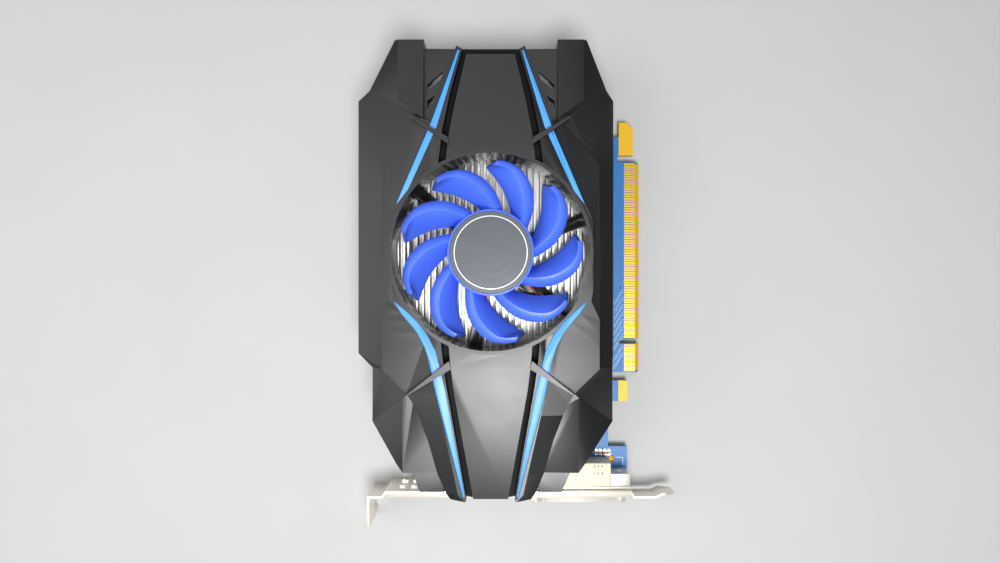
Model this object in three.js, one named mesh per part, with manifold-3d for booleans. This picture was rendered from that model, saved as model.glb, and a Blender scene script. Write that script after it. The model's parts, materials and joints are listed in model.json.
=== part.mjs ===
// Graphics card with a single fan, lying flat with the fan up.
// Millimetres, +Z up, +X towards the edge connector, -Y towards the mounting bracket.
// The design is drawn around the fan axis with z = 0 on the board's upper face;
// the last lines move it so that the origin is under the middle of the card.

import * as THREE from 'three';
import { mergeVertices } from 'three/addons/utils/BufferGeometryUtils.js';
import Module from 'manifold-3d';

const wasm = await Module();
wasm.setup();

// ---------------------------------------------------------------- fits
const seat = 0.1; // between two pieces that rest on each other
const cutGap = 0.3; // between a piece and the opening cut for it
const runningFit = 0.08; // radial, shaft in its bearing
const round = 24; // sides of a small round piece

// ---------------------------------------------------------------- board
const boardThickness = 1.6;
const boardWidth = 68.9; // low-profile board, contact edge to the opposite edge
const boardFarY = 55.4;
const contactEdgeX = 59.7;
const boardEdgeX = 47.3; // long edge beside the connector tongue
const tongueFarY = 37.8;
const tongueLength = 85.2; // sixteen-lane edge connector
const keyFromNearEnd = 11.65;
const keyWidth = 1.9;
const keyDepth = 8.5;
const hookReach = 5.7; // retention hook, out from the board strip
const hookLength = 13.4;
const hookSlot = 2.7;
const lowerTabReach = 7.8;
const lowerTabLength = 8.4;
const lowerTabGap = 3.4;
const cornerTabReach = 7.7;
const cornerTabLength = 13.7;
const cornerChamfer = 0.8;
const hookChamfer = 2.5;
const hookStrip = 8.1; // contact edge to the strip that carries the hook
const hookRootLength = 5.8;
const hookRootDepth = 2.8;
const edgeBevelRun = 1.6; // slope on both faces of the contact edge
const edgeBevelDepth = 0.5;

// ---------------------------------------------------------------- bracket
const bracketFaceY = -92.5; // outer face
const bracketSheet = 0.86;
const bracketWidth = 18.42;
const bracketBelowBoard = 2.8;
const bracketTopX = -48; // outside of the screw flange
const bracketTongueX = 72.2; // tip of the lower tongue
const bracketBodyX = [-40.3, 54.2];
const bracketRim = 2.4;
const flangeReach = 11.4;
const flangeOffset = 1.9; // outwards from the bracket's face
const flangeNotch = 4.42;
const tongueWidth = 10.2;

// ---------------------------------------------------------------- sockets
const wideX = 34.2;
const wideZ = 6;
const jackSpacing = 33.3;
const jackHoleRadius = 1.7;
const jackHex = 5; // across flats
const jackLength = 5;
const wideShell = [25, 8.8];
const wideStandOut = 4.4;
const wideDepth = 10;
const wideFlange = 1;
const wideFlangeEdge = 1.2; // flange above the collar
const wideLug = 5.6;
const wideBodyLeft = 14; // from the socket's middle
const wideBodyRight = 12.4;
const ribCount = 5;
const ribWidth = 0.9;
const ribLength = 5;
const jackMargin = 3.4;
const jackThreadRadius = 1.2;
const narrowX = 1.6;
const narrowShell = [14.6, 5.6];
const narrowDepth = 11.5;
const narrowStandOut = 0.9;
const shellWall = 0.5;

// ---------------------------------------------------------------- chips
const gpuX = 14;
const gpuY = -4;
const gpuPackage = 29;
const gpuPackageHeight = 1.2;
const gpuDie = [12, 14, 0.8];
const memorySize = [11, 14, 1.1];
// from the middle of the GPU; the last two are turned a quarter
const memoryPlaces = [[24.5, 9, false], [24.5, -8, false], [-8, 30, true], [8, 30, true]];
const smallChip = [5, 6];
const biosPlace = [-1, 42];
const biosHeight = 1.7;
const powerRowX = [-2, 8];
const switchY = -48;
const switchHeight = 1;
const chokeY = -64;
const chokeSide = 7.4;
const chokeHeight = 4.6;
const capacitorPlaces = [[17, -62], [17, -71], [42, -67]];
const canRadius = 3.1;
const canTop = 8.4;
const canFoot = 6.4;
const canFootTop = 1.3;

// ---------------------------------------------------------------- cooler
const finPitch = 2.4;
const finThickness = 0.9;
const finCount = 33;
const finTopZ = 15;
const sinkNearY = -56;
const sinkFarY = 62;
const sinkBottomZ = 4.5;
const sinkBase = 4;
const slugSize = 24;
const slugRecess = 2;
const coolerHoleSpacing = 40;
const coolerHoleRadius = 1.6;
const coolerScrewRadius = 1.2;
const screwHeadHeight = 1;
const springHeight = 1.4;

// ---------------------------------------------------------------- fan
const fanBore = 71.4; // opening in the cover
const tipGap = 2.2;
const hubRadius = 16;
const hubHeight = 10.4;
const hubClearance = 1.5; // above the fan frame
const hubWall = 1.1;
const bladeCount = 9;
const bladeTopDrop = 1; // below the top of the hub
const bladeBottomRise = 0.7; // above the bottom of the hub
const bladeThickness = 1.3;
const bladeRootAngle = 80; // leading root of the first blade
// share of the way from root to tip, then the angles of the leading and the trailing edge
const bladeEdges = [[0, -2, 15], [0.1, 0, 18.5], [0.26, 5, 27], [0.43, 9.5, 33.5], [0.59, 15, 39.5],
  [0.73, 20.5, 44.5], [0.84, 25.5, 48], [0.92, 31, 50.3], [0.97, 38, 51.4], [1, 46, 52]];
const hubRoof = 1.6;
const hubRim = 0.6;
const labelDepth = 0.4; // recess in the top of the hub
const labelThickness = 0.25;
const shaftBossRadius = 2.2;
const cupWall = 0.7;
const magnetWall = 1.7;
const shaftRadius = 1;
const strutAngles = [20, 140, 260];
const leadAngle = 320;
const strutWidth = 5;
const strutHeight = 1.5;
const lugInset = 3.2; // fan screw centres, outside the duct
const fanScrewRadius = 1.3;
const leadRadius = 0.9;
const ductWall = 1.3;
const ductClearance = 0.6; // above the fan frame

// ---------------------------------------------------------------- cover
const coverTopZ = 33;
const coverFarReach = 78; // from the fan axis to the far end
const coverNearReach = 90.6; // to the tips at the bracket end
const coverWidth = 94;
const coverShift = 1.8; // the left wing is this much wider than half
const coverSkirtZ = 9;
const grooveFloorZ = 28;
const stripeThickness = 0.8;
const stripeBelow = 0.25; // stripes lie this far below the ridge
const stripeGap = 0.12; // around each stripe in its pocket
const barRise = 1;
const barDepth = 6;

// ---------------------------------------------------------------- derived
const sinkTopOfBase = sinkBottomZ + sinkBase;
const boardLeftX = contactEdgeX - boardWidth;
const boardNearY = bracketFaceY + bracketSheet + 0.4;
const tongueNearY = tongueFarY - tongueLength;
const bracketBottomZ = -boardThickness - bracketBelowBoard;
const bracketTopZ = bracketBottomZ + bracketWidth;
const sinkHalfWidth = ((finCount - 1) * finPitch + finThickness) / 2;
const ductRadius = fanBore / 2;
const tipRadius = ductRadius - tipGap;
const lugRadius = ductRadius + ductWall + lugInset;
const frameBottomZ = finTopZ + 2 * seat;
const frameTopZ = frameBottomZ + strutHeight;
const ductBottomZ = frameTopZ + ductClearance;
const hubBottomZ = frameTopZ + hubClearance;
const hubTopZ = hubBottomZ + hubHeight;
const bladeTopZ = hubTopZ - bladeTopDrop;
const bladeBottomZ = hubBottomZ + bladeBottomRise;
const gpuTopZ = seat + gpuPackageHeight + seat + gpuDie[2];
const coverScrews = [[-34.5, -50], [34.5, -50], [-34.5, 56], [34.5, 56]];
const coverBossRadius = 3;
const header = [30, -68]; // fan lead socket
const headerSize = [10.4, 6, 6];

// ---------------------------------------------------------------- materials
function finish(color, roughness, metalness) {
  return new THREE.MeshStandardMaterial({ color, roughness, metalness });
}
const finishes = {
  board: finish(0x1f6fae, 0.45, 0),
  blackPlastic: finish(0x3a3b3d, 0.6, 0),
  bluePlastic: finish(0x2a4fd8, 0.4, 0),
  blueStripe: finish(0x4fa3f5, 0.4, 0),
  label: finish(0x55585c, 0.5, 0.3),
  aluminium: finish(0xc9cbce, 0.35, 1),
  copper: finish(0xb87345, 0.35, 1),
  nickel: finish(0xd9d8d2, 0.3, 1),
  steel: finish(0x8d9093, 0.4, 1),
  brass: finish(0xc9a553, 0.35, 1),
  chip: finish(0x1c1c1e, 0.5, 0),
  greenLaminate: finish(0x2f6b3c, 0.5, 0),
  silicon: finish(0x5b5f6a, 0.2, 0.5),
  cream: finish(0xe9dfc4, 0.5, 0),
  magnet: finish(0x2b2a28, 0.8, 0),
  winding: finish(0xb5652d, 0.4, 0.6),
  canister: finish(0xb9bcc2, 0.3, 0.9),
  wire: finish(0x202020, 0.5, 0)
};

// ---------------------------------------------------------------- solids
function toSolid(geometry) {
  const bare = geometry.clone();
  bare.deleteAttribute('normal');
  bare.deleteAttribute('uv');
  const merged = mergeVertices(bare, 1e-4);
  const vertProperties = new Float32Array(merged.attributes.position.array);
  const triVerts = new Uint32Array(merged.index.array);
  return new wasm.Manifold(new wasm.Mesh({ numProp: 3, vertProperties, triVerts }));
}

function toGeometry(solid) {
  const mesh = solid.getMesh();
  const geometry = new THREE.BufferGeometry();
  geometry.setAttribute('position', new THREE.BufferAttribute(mesh.vertProperties, 3));
  geometry.setIndex(new THREE.BufferAttribute(mesh.triVerts, 1));
  return geometry;
}

function block(x0, x1, y0, y1, z0, z1) {
  const geometry = new THREE.BoxGeometry(x1 - x0, y1 - y0, z1 - z0);
  geometry.translate((x0 + x1) / 2, (y0 + y1) / 2, (z0 + z1) / 2);
  return toSolid(geometry);
}

function centredBlock(x, y, sizeX, sizeY, z0, z1) {
  return block(x - sizeX / 2, x + sizeX / 2, y - sizeY / 2, y + sizeY / 2, z0, z1);
}

function rod(x, y, radius, z0, z1, sides = round) {
  const geometry = new THREE.CylinderGeometry(radius, radius, z1 - z0, sides);
  geometry.rotateX(Math.PI / 2);
  geometry.translate(x, y, (z0 + z1) / 2);
  return toSolid(geometry);
}

// A rod along Y, for what passes through the bracket.
function rodAlongY(x, z, radius, y0, y1, sides = round) {
  const geometry = new THREE.CylinderGeometry(radius, radius, y1 - y0, sides);
  geometry.translate(x, (y0 + y1) / 2, z);
  return toSolid(geometry);
}

// A body of revolution about the fan axis; the profile closes on itself.
function turned(profile, sides = round) {
  const points = profile.map(([r, z]) => new THREE.Vector2(r, z));
  points.push(points[0].clone());
  const geometry = new THREE.LatheGeometry(points, sides);
  geometry.rotateX(Math.PI / 2);
  return toSolid(geometry);
}

function tube(innerRadius, outerRadius, z0, z1, sides = round) {
  return rod(0, 0, outerRadius, z0, z1, sides).subtract(rod(0, 0, innerRadius, z0 - 1, z1 + 1, sides));
}

// A flat outline pushed up from one height to another.
function plate(outline, z0, z1) {
  const shape = new THREE.Shape(outline.map(([x, y]) => new THREE.Vector2(x, y)));
  const geometry = new THREE.ExtrudeGeometry(shape, { depth: z1 - z0, bevelEnabled: false });
  geometry.translate(0, 0, z0);
  return toSolid(geometry);
}

// The same, with each corner of the upper face at its own height: [x, y, z].
function facet(corners, z0) {
  const shape = new THREE.Shape(corners.map(([x, y]) => new THREE.Vector2(x, y)));
  const geometry = new THREE.ExtrudeGeometry(shape, { depth: 1, bevelEnabled: false });
  const position = geometry.attributes.position;
  for (let i = 0; i < position.count; i += 1) {
    const x = position.getX(i);
    const y = position.getY(i);
    const corner = corners.find((c) => Math.hypot(c[0] - x, c[1] - y) < 1e-3);
    position.setZ(i, position.getZ(i) > 0.5 ? corner[2] : z0);
  }
  return toSolid(geometry);
}

// A strip of sheet standing on edge, following a path in plan.
function ribbon(path, thickness, z0, z1) {
  const left = [];
  const right = [];
  path.forEach(([x, y], i) => {
    const before = path[Math.max(i - 1, 0)];
    const after = path[Math.min(i + 1, path.length - 1)];
    const length = Math.hypot(after[0] - before[0], after[1] - before[1]);
    const nx = (-(after[1] - before[1]) / length) * (thickness / 2);
    const ny = ((after[0] - before[0]) / length) * (thickness / 2);
    left.push([x + nx, y + ny]);
    right.unshift([x - nx, y - ny]);
  });
  return plate([...left, ...right], z0, z1);
}

function polar(radius, degrees) {
  const angle = THREE.MathUtils.degToRad(degrees);
  return [radius * Math.cos(angle), radius * Math.sin(angle)];
}

function union(solids) {
  return solids.reduce((sum, solid) => sum.add(solid));
}

function subtractAll(solid, cuts) {
  return cuts.reduce((rest, cut) => rest.subtract(cut), solid);
}

// Shared walls can leave a sliver of no volume after a union; the largest body is the piece.
function largestBody(solid) {
  return solid.decompose().reduce((best, body) => (body.volume() > best.volume() ? body : best));
}

const card = new THREE.Group();
const fan = new THREE.Group();

function addPiece(group, name, solid, material) {
  const mesh = new THREE.Mesh(toGeometry(solid), material);
  mesh.name = name;
  group.add(mesh);
  return mesh;
}

function eachCorner(spacing, action) {
  const half = spacing / 2;
  const corners = [[-half, -half], [half, -half], [half, half], [-half, half]];
  corners.forEach(([x, y], i) => action(gpuX + x, gpuY + y, i + 1));
}

// ---------------------------------------------------------------- circuit board
function boardOutline() {
  const keyNear = tongueNearY + keyFromNearEnd;
  const tabFar = tongueNearY - lowerTabGap;
  const hookNear = tongueFarY + hookSlot;
  const stripX = contactEdgeX - hookStrip;
  const hookX = stripX + hookReach;
  const hookFar = hookNear + hookLength;
  const hookRoot = hookFar - hookRootLength;
  const slotX = contactEdgeX - keyDepth;
  return [
    [boardLeftX, boardNearY], [boardEdgeX + cornerTabReach, boardNearY],
    [boardEdgeX + cornerTabReach, boardNearY + cornerTabLength], [boardEdgeX, boardNearY + cornerTabLength],
    [boardEdgeX, tabFar - lowerTabLength], [boardEdgeX + lowerTabReach, tabFar - lowerTabLength],
    [boardEdgeX + lowerTabReach, tabFar], [boardEdgeX, tabFar], [boardEdgeX, tongueNearY],
    [contactEdgeX - cornerChamfer, tongueNearY], [contactEdgeX, tongueNearY + cornerChamfer],
    [contactEdgeX, keyNear], [slotX, keyNear], [slotX, keyNear + keyWidth], [contactEdgeX, keyNear + keyWidth],
    [contactEdgeX, tongueFarY - cornerChamfer], [contactEdgeX - cornerChamfer, tongueFarY],
    [slotX, tongueFarY], [slotX, hookNear], [hookX, hookNear], [hookX, hookFar - hookChamfer],
    [hookX - hookChamfer, hookFar], [stripX, hookFar], [stripX, hookRoot], [stripX - hookRootDepth, hookRoot],
    [stripX - hookRootDepth, boardFarY], [boardLeftX, boardFarY]
  ];
}

function makeBoard() {
  let board = plate(boardOutline(), -boardThickness, 0);
  const below = -boardThickness - 1;
  eachCorner(coolerHoleSpacing, (x, y) => {
    board = board.subtract(rod(x, y, coolerHoleRadius, below, 1, 16));
  });
  // both faces of the contact edge are bevelled so that it slides into its slot
  const past = contactEdgeX + edgeBevelRun;
  for (const side of [1, -1]) {
    const face = side > 0 ? 0 : -boardThickness;
    const wedge = new THREE.Shape([
      new THREE.Vector2(contactEdgeX - edgeBevelRun, face),
      new THREE.Vector2(past, face - side * 2 * edgeBevelDepth),
      new THREE.Vector2(past, face + side), new THREE.Vector2(contactEdgeX - edgeBevelRun, face + side)
    ]);
    const geometry = new THREE.ExtrudeGeometry(wedge, { depth: tongueLength + 2, bevelEnabled: false });
    geometry.rotateX(Math.PI / 2);
    geometry.translate(0, tongueFarY + 1, 0);
    board = board.subtract(toSolid(geometry));
  }
  addPiece(card, 'circuit_board', board, finishes.board);
}

function makeChips() {
  const packageTop = seat + gpuPackageHeight;
  const substrate = centredBlock(gpuX, gpuY, gpuPackage, gpuPackage, seat, packageTop);
  addPiece(card, 'gpu_substrate', substrate, finishes.greenLaminate);
  const die = centredBlock(gpuX, gpuY, gpuDie[0], gpuDie[1], packageTop + seat, gpuTopZ);
  addPiece(card, 'gpu_die', die, finishes.silicon);
  const [memoryX, memoryY, memoryHeight] = memorySize;
  memoryPlaces.forEach(([x, y, turn], i) => {
    const [sizeX, sizeY] = turn ? [memoryY, memoryX] : [memoryX, memoryY];
    const chip = centredBlock(gpuX + x, gpuY + y, sizeX, sizeY, seat, seat + memoryHeight);
    addPiece(card, `memory_chip_${i + 1}`, chip, finishes.chip);
  });
  const [smallX, smallY] = smallChip;
  const bios = centredBlock(...biosPlace, smallX, smallY, seat, seat + biosHeight);
  addPiece(card, 'bios_chip', bios, finishes.chip);
  powerRowX.forEach((x, i) => {
    const powerSwitch = centredBlock(x, switchY, smallX, smallY, seat, seat + switchHeight);
    addPiece(card, `power_switch_${i + 1}`, powerSwitch, finishes.chip);
    const choke = centredBlock(x, chokeY, chokeSide, chokeSide, seat, seat + chokeHeight);
    addPiece(card, `power_choke_${i + 1}`, choke, finishes.chip);
  });
  capacitorPlaces.forEach(([x, y], i) => {
    const foot = centredBlock(x, y, canFoot, canFoot, seat, canFootTop);
    const can = rod(x, y, canRadius, canFootTop - seat, canTop).add(foot);
    addPiece(card, `capacitor_${i + 1}`, can, finishes.canister);
  });
}

function makeFanSocket() {
  const [x, y] = header;
  const [sizeX, sizeY, height] = headerSize;
  const wall = 0.8;
  const pocket = centredBlock(x, y, sizeX - 2 * wall, sizeY - 2 * wall, seat + wall, height + 1);
  const socket = centredBlock(x, y, sizeX, sizeY, seat, seat + height).subtract(pocket);
  addPiece(card, 'fan_socket', socket, finishes.cream);
  const inset = wall + cutGap;
  const plug = centredBlock(x, y, sizeX - 2 * inset, sizeY - 2 * inset, seat + wall + cutGap, height + 3);
  addPiece(card, 'fan_plug', plug, finishes.wire);
}

// ---------------------------------------------------------------- bracket and sockets
function wideOutline(grow) {
  const halfX = wideShell[0] / 2 + grow;
  const halfZ = wideShell[1] / 2 + grow;
  const slant = 1.6;
  return [[-halfX, halfZ], [halfX, halfZ], [halfX, -halfZ + slant], [halfX - slant, -halfZ],
    [-halfX + slant, -halfZ], [-halfX, -halfZ + slant]];
}

// An upright outline [x, z] pushed along Y.
function upright(outline, y0, y1) {
  const shape = new THREE.Shape(outline.map(([x, z]) => new THREE.Vector2(x, z)));
  const geometry = new THREE.ExtrudeGeometry(shape, { depth: y1 - y0, bevelEnabled: false });
  geometry.rotateX(Math.PI / 2);
  geometry.translate(0, y1, 0);
  return toSolid(geometry);
}

function shifted(outline, x, z) {
  return outline.map(([a, b]) => [a + x, b + z]);
}

function bracketVents() {
  const cuts = [];
  const ventWidth = 2.6;
  const ventPitch = 4.6;
  const [first] = bracketBodyX;
  for (let i = 0; i < 6; i += 1) {
    const x = first + 4 + i * ventPitch;
    for (const [z0, z1] of [[bracketBottomZ + 3, bracketBottomZ + 8.2], [bracketTopZ - 8.2, bracketTopZ - 3]]) {
      cuts.push(block(x, x + ventWidth, bracketFaceY - 1, bracketFaceY + 2, z0, z1));
    }
  }
  return cuts;
}

function makeBracket() {
  const [bodyLeft, bodyRight] = bracketBodyX;
  const inner = bracketFaceY + bracketSheet;
  const middle = bracketFaceY + bracketSheet / 2;
  const face = block(bodyLeft, bodyRight, bracketFaceY, inner, bracketBottomZ, bracketTopZ);
  const rim = block(bodyLeft, bodyRight, inner - bracketRim, inner, bracketTopZ - bracketSheet, bracketTopZ);
  const flangeY = bracketFaceY - flangeOffset;
  const joggle = ribbon([[bodyLeft + 0.6, middle], [bodyLeft - 0.4, middle], [bodyLeft - 2, flangeY + 0.43],
    [bracketTopX + bracketSheet / 2, flangeY + 0.43]], bracketSheet, bracketBottomZ, bracketTopZ);
  const flange = block(bracketTopX, bracketTopX + bracketSheet, flangeY - flangeReach, flangeY + bracketSheet,
    bracketBottomZ, bracketTopZ);
  const tongueBottom = bracketBottomZ + (bracketWidth - tongueWidth) / 2;
  const offsetY = middle - 3.2;
  const tongue = ribbon([[bodyRight - 0.6, middle], [bodyRight, middle], [bodyRight + 1.8, offsetY],
    [bracketTongueX - 7.6, offsetY], [bracketTongueX - 5, offsetY + 1.2], [bracketTongueX, offsetY + 1.2]],
  bracketSheet, tongueBottom, tongueBottom + tongueWidth);
  const taper = [];
  for (const side of [1, -1]) {
    const edge = side > 0 ? tongueBottom + tongueWidth : tongueBottom;
    const corner = [[bracketTongueX - 4, edge + side], [bracketTongueX - 4, edge],
      [bracketTongueX + 1, edge - side * 3], [bracketTongueX + 1, edge + side]];
    taper.push(upright(corner, bracketFaceY - 6, bracketFaceY + 3));
  }
  const notchY = flangeY - flangeReach / 2;
  const notch = block(bracketTopX - 1, bracketTopX + 2, notchY - flangeNotch / 2, notchY + flangeNotch / 2,
    bracketBottomZ - 1, bracketBottomZ + 5.2);
  const holes = [upright(shifted(wideOutline(cutGap), wideX, wideZ), bracketFaceY - 1, bracketFaceY + 2)];
  for (const side of [-1, 1]) {
    holes.push(rodAlongY(wideX + (side * jackSpacing) / 2, wideZ, jackHoleRadius, bracketFaceY - 1, bracketFaceY + 2, 16));
  }
  const narrowHalf = narrowShell[0] / 2 + cutGap;
  holes.push(block(narrowX - narrowHalf, narrowX + narrowHalf, bracketFaceY - 1, bracketFaceY + 2,
    seat - cutGap, seat + narrowShell[1] + cutGap));
  const sheet = union([face, rim, joggle, flange, tongue]);
  addPiece(card, 'mounting_bracket', subtractAll(sheet, [...taper, notch, ...holes, ...bracketVents()]),
    finishes.nickel);
}

function makeWideSocket() {
  const inner = bracketFaceY + bracketSheet + seat;
  const rear = inner + wideDepth;
  const halfBody = jackSpacing / 2 + jackMargin;
  const flangeTop = wideZ + wideShell[1] / 2 + wideFlangeEdge;
  // metal shell: a flange behind the bracket, a lug beside the body and a D-shaped collar through the bracket
  const flangePlate = block(wideX - halfBody, wideX + halfBody, inner, inner + wideFlange, seat, flangeTop);
  const lug = block(wideX + wideBodyRight + cutGap, wideX + halfBody, inner, inner + wideLug, seat, flangeTop - 1);
  const collar = upright(shifted(wideOutline(0), wideX, wideZ), bracketFaceY - wideStandOut, inner + wideFlange);
  const mouth = upright(shifted(wideOutline(-shellWall), wideX, wideZ),
    bracketFaceY - wideStandOut - 1, inner + wideFlange + 1);
  let shell = union([flangePlate, lug, collar]).subtract(mouth);
  // insulator: the block that carries the contacts, with a tongue inside the collar
  const bodyFront = inner + wideFlange + seat;
  const rearBlock = block(wideX - wideBodyLeft, wideX + wideBodyRight, bodyFront, rear, seat, flangeTop - cutGap);
  const tongue = upright(shifted(wideOutline(-shellWall - cutGap), wideX, wideZ), bracketFaceY + 1.4, bodyFront + 0.5);
  const grooves = [];
  for (let i = 0; i < ribCount; i += 1) {
    const x = wideX - wideBodyLeft + ribWidth + i * 2 * ribWidth;
    grooves.push(block(x, x + ribWidth, rear - ribLength, rear + 1, wideZ - 1, flangeTop + 1));
  }
  for (const side of [-1, 1]) {
    const x = wideX + (side * jackSpacing) / 2;
    shell = shell.subtract(rodAlongY(x, wideZ, jackHoleRadius, inner - 1, inner + wideLug + 1, 16));
  }
  addPiece(card, 'wide_socket_shell', shell, finishes.nickel);
  addPiece(card, 'wide_socket_body', subtractAll(rearBlock.add(tongue), grooves), finishes.cream);
  [-1, 1].forEach((side, i) => {
    const x = wideX + (side * jackSpacing) / 2;
    const nut = new THREE.CylinderGeometry(jackHex / Math.sqrt(3), jackHex / Math.sqrt(3), jackLength, 6);
    nut.translate(x, bracketFaceY - seat - jackLength / 2, wideZ);
    const shank = rodAlongY(x, wideZ, jackHoleRadius - cutGap, bracketFaceY - 1, inner + 2 * wideFlange, 16);
    const thread = rodAlongY(x, wideZ, jackThreadRadius, bracketFaceY - jackLength - 1, bracketFaceY - 1.2, 12);
    addPiece(card, `jack_nut_${i + 1}`, toSolid(nut).add(shank).subtract(thread), finishes.nickel);
  });
}

function makeNarrowSocket() {
  const [sizeX, sizeZ] = narrowShell;
  const front = bracketFaceY - narrowStandOut;
  const rear = front + narrowDepth;
  const bottom = seat;
  const outline = (grow) => {
    const half = sizeX / 2 + grow;
    const low = bottom - grow;
    const high = bottom + sizeZ + grow;
    const slant = 1.8;
    return [[narrowX - half, high], [narrowX + half, high], [narrowX + half, low + slant], [narrowX + half - slant, low],
      [narrowX - half + slant, low], [narrowX - half, low + slant]];
  };
  const hollow = upright(outline(-shellWall), front - 1, rear - shellWall);
  addPiece(card, 'narrow_socket_shell', upright(outline(0), front, rear).subtract(hollow), finishes.nickel);
  const inset = shellWall + cutGap;
  const core = upright(outline(-inset), rear - 4, rear - shellWall - cutGap);
  const blade = block(narrowX - 5.6, narrowX + 5.6, front + 1.4, rear - 3.6, bottom + 2.3, bottom + 3.4);
  addPiece(card, 'narrow_socket_body', core.add(blade), finishes.chip);
}

// ---------------------------------------------------------------- cooler
function makeHeatsink() {
  const left = -sinkHalfWidth;
  let sink = block(left, -left, sinkNearY, sinkFarY, sinkBottomZ, sinkTopOfBase);
  const fins = [];
  for (let i = 0; i < finCount; i += 1) {
    const x = left + i * finPitch;
    fins.push(block(x, x + finThickness, sinkNearY, sinkFarY, sinkTopOfBase - 0.5, finTopZ));
  }
  sink = sink.add(union(fins));
  const pocket = slugSize / 2 + cutGap;
  const cuts = [block(gpuX - pocket, gpuX + pocket, gpuY - pocket, gpuY + pocket,
    sinkBottomZ - 1, sinkBottomZ + slugRecess + cutGap)];
  // fins are cleared around each cover post, and the base is drilled for its screw
  const clear = coverBossRadius + 0.8;
  for (const [x, y] of coverScrews) {
    cuts.push(centredBlock(x, y, 2 * clear, 2 * clear, sinkTopOfBase, finTopZ + 1));
    cuts.push(rod(x, y, coolerHoleRadius, sinkBottomZ - 1, sinkTopOfBase + 1, 12));
  }
  eachCorner(coolerHoleSpacing, (x, y) => {
    cuts.push(rod(x, y, coolerScrewRadius + cutGap, sinkBottomZ - 1, sinkBottomZ + sinkBase * 0.75, 12));
  });
  for (const angle of strutAngles) {
    const [x, y] = polar(lugRadius, angle);
    cuts.push(rod(x, y, fanScrewRadius + cutGap, sinkTopOfBase, finTopZ + 1, 12));
  }
  addPiece(card, 'heatsink', subtractAll(sink, cuts), finishes.aluminium);
  const slug = centredBlock(gpuX, gpuY, slugSize, slugSize, gpuTopZ + seat, sinkBottomZ + slugRecess);
  addPiece(card, 'copper_slug', slug, finishes.copper);
}

function makeCoolerScrews() {
  const springTop = -boardThickness - seat;
  const springBottom = springTop - springHeight;
  const headTop = springBottom - seat;
  const shankTop = sinkBottomZ + sinkBase * 0.75 - cutGap;
  eachCorner(coolerHoleSpacing, (x, y, number) => {
    const head = rod(x, y, 2.6, headTop - screwHeadHeight, headTop, 16);
    const shank = rod(x, y, coolerScrewRadius, headTop - 0.2, shankTop, 12);
    const drive = centredBlock(x, y, 3.2, 0.7, headTop - 2, headTop - 0.5);
    const cross = centredBlock(x, y, 0.7, 3.2, headTop - 2, headTop - 0.5);
    addPiece(card, `cooler_screw_${number}`, subtractAll(head.add(shank), [drive, cross]), finishes.steel);
    const spring = turned([[coolerScrewRadius + cutGap, springBottom], [1.9, springBottom],
      [2.7, springTop - 0.4], [2.7, springTop], [2.3, springTop]], 16);
    addPiece(card, `cooler_spring_${number}`, spring.translate([x, y, 0]), finishes.steel);
  });
}

function makeCoverScrews() {
  coverScrews.forEach(([x, y], i) => {
    const headTop = sinkBottomZ - seat;
    const head = rod(x, y, 2.5, headTop - 1.4, headTop, 16);
    const shank = rod(x, y, 1.1, headTop - 0.2, sinkTopOfBase + 5, 12);
    const slot = centredBlock(x, y, 3, 0.7, headTop - 2, headTop - 0.8);
    addPiece(card, `cover_screw_${i + 1}`, head.add(shank).subtract(slot), finishes.steel);
  });
}

// ---------------------------------------------------------------- fan
const sleeveOuter = 2.5;
const tubeOuter = 3.3;
const tubeFloor = 0.8; // under the bearing sleeve
const tubeTopZ = hubTopZ - 4.4;
const sleeveBottomZ = frameBottomZ + tubeFloor + seat;
const shaftBottomZ = sleeveBottomZ + cutGap;
const motorBoardHeight = 0.8;
const channelHeight = 0.9;
const channelWidth = 6.8;
const lugWider = 0.4;

function makeFanFrame() {
  const disc = rod(0, 0, hubRadius - 0.6, frameBottomZ, frameTopZ, 36);
  const centreTube = rod(0, 0, tubeOuter, frameBottomZ, tubeTopZ);
  const arms = strutAngles.map((angle) => {
    const arm = block(4, lugRadius, -strutWidth / 2, strutWidth / 2, frameBottomZ, frameTopZ);
    const lug = rod(lugRadius, 0, strutWidth / 2 + lugWider, frameBottomZ, frameTopZ, 20);
    return arm.add(lug).rotate([0, 0, angle]);
  });
  const channelTop = frameBottomZ + channelHeight;
  const channel = block(4, tipRadius, -channelWidth / 2, channelWidth / 2, frameBottomZ, channelTop);
  let frame = union([disc, centreTube, ...arms, channel.rotate([0, 0, leadAngle])]);
  frame = frame.subtract(rod(0, 0, sleeveOuter + seat, frameBottomZ + tubeFloor, hubTopZ));
  // the lead drops through a slot in the disc's edge on to its channel
  const slot = block(hubRadius - 5, hubRadius + 1, -2, 2, channelTop, frameTopZ + 1);
  frame = frame.subtract(slot.rotate([0, 0, leadAngle]));
  for (const angle of strutAngles) {
    const [x, y] = polar(lugRadius, angle);
    frame = frame.subtract(rod(x, y, fanScrewRadius + cutGap, frameBottomZ - 1, frameTopZ + 1, 16));
  }
  addPiece(card, 'fan_frame', frame, finishes.blackPlastic);
  strutAngles.forEach((angle, i) => {
    const [x, y] = polar(lugRadius, angle);
    const head = rod(x, y, 2.3, frameTopZ + seat, frameTopZ + seat + 1.3, 16);
    const shank = rod(x, y, fanScrewRadius, sinkTopOfBase + 0.6, frameTopZ + 0.5, 12);
    const slotCut = centredBlock(x, y, 3, 0.7, frameTopZ + 0.8, frameTopZ + 3);
    addPiece(card, `fan_screw_${i + 1}`, head.add(shank).subtract(slotCut), finishes.steel);
  });
}

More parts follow.
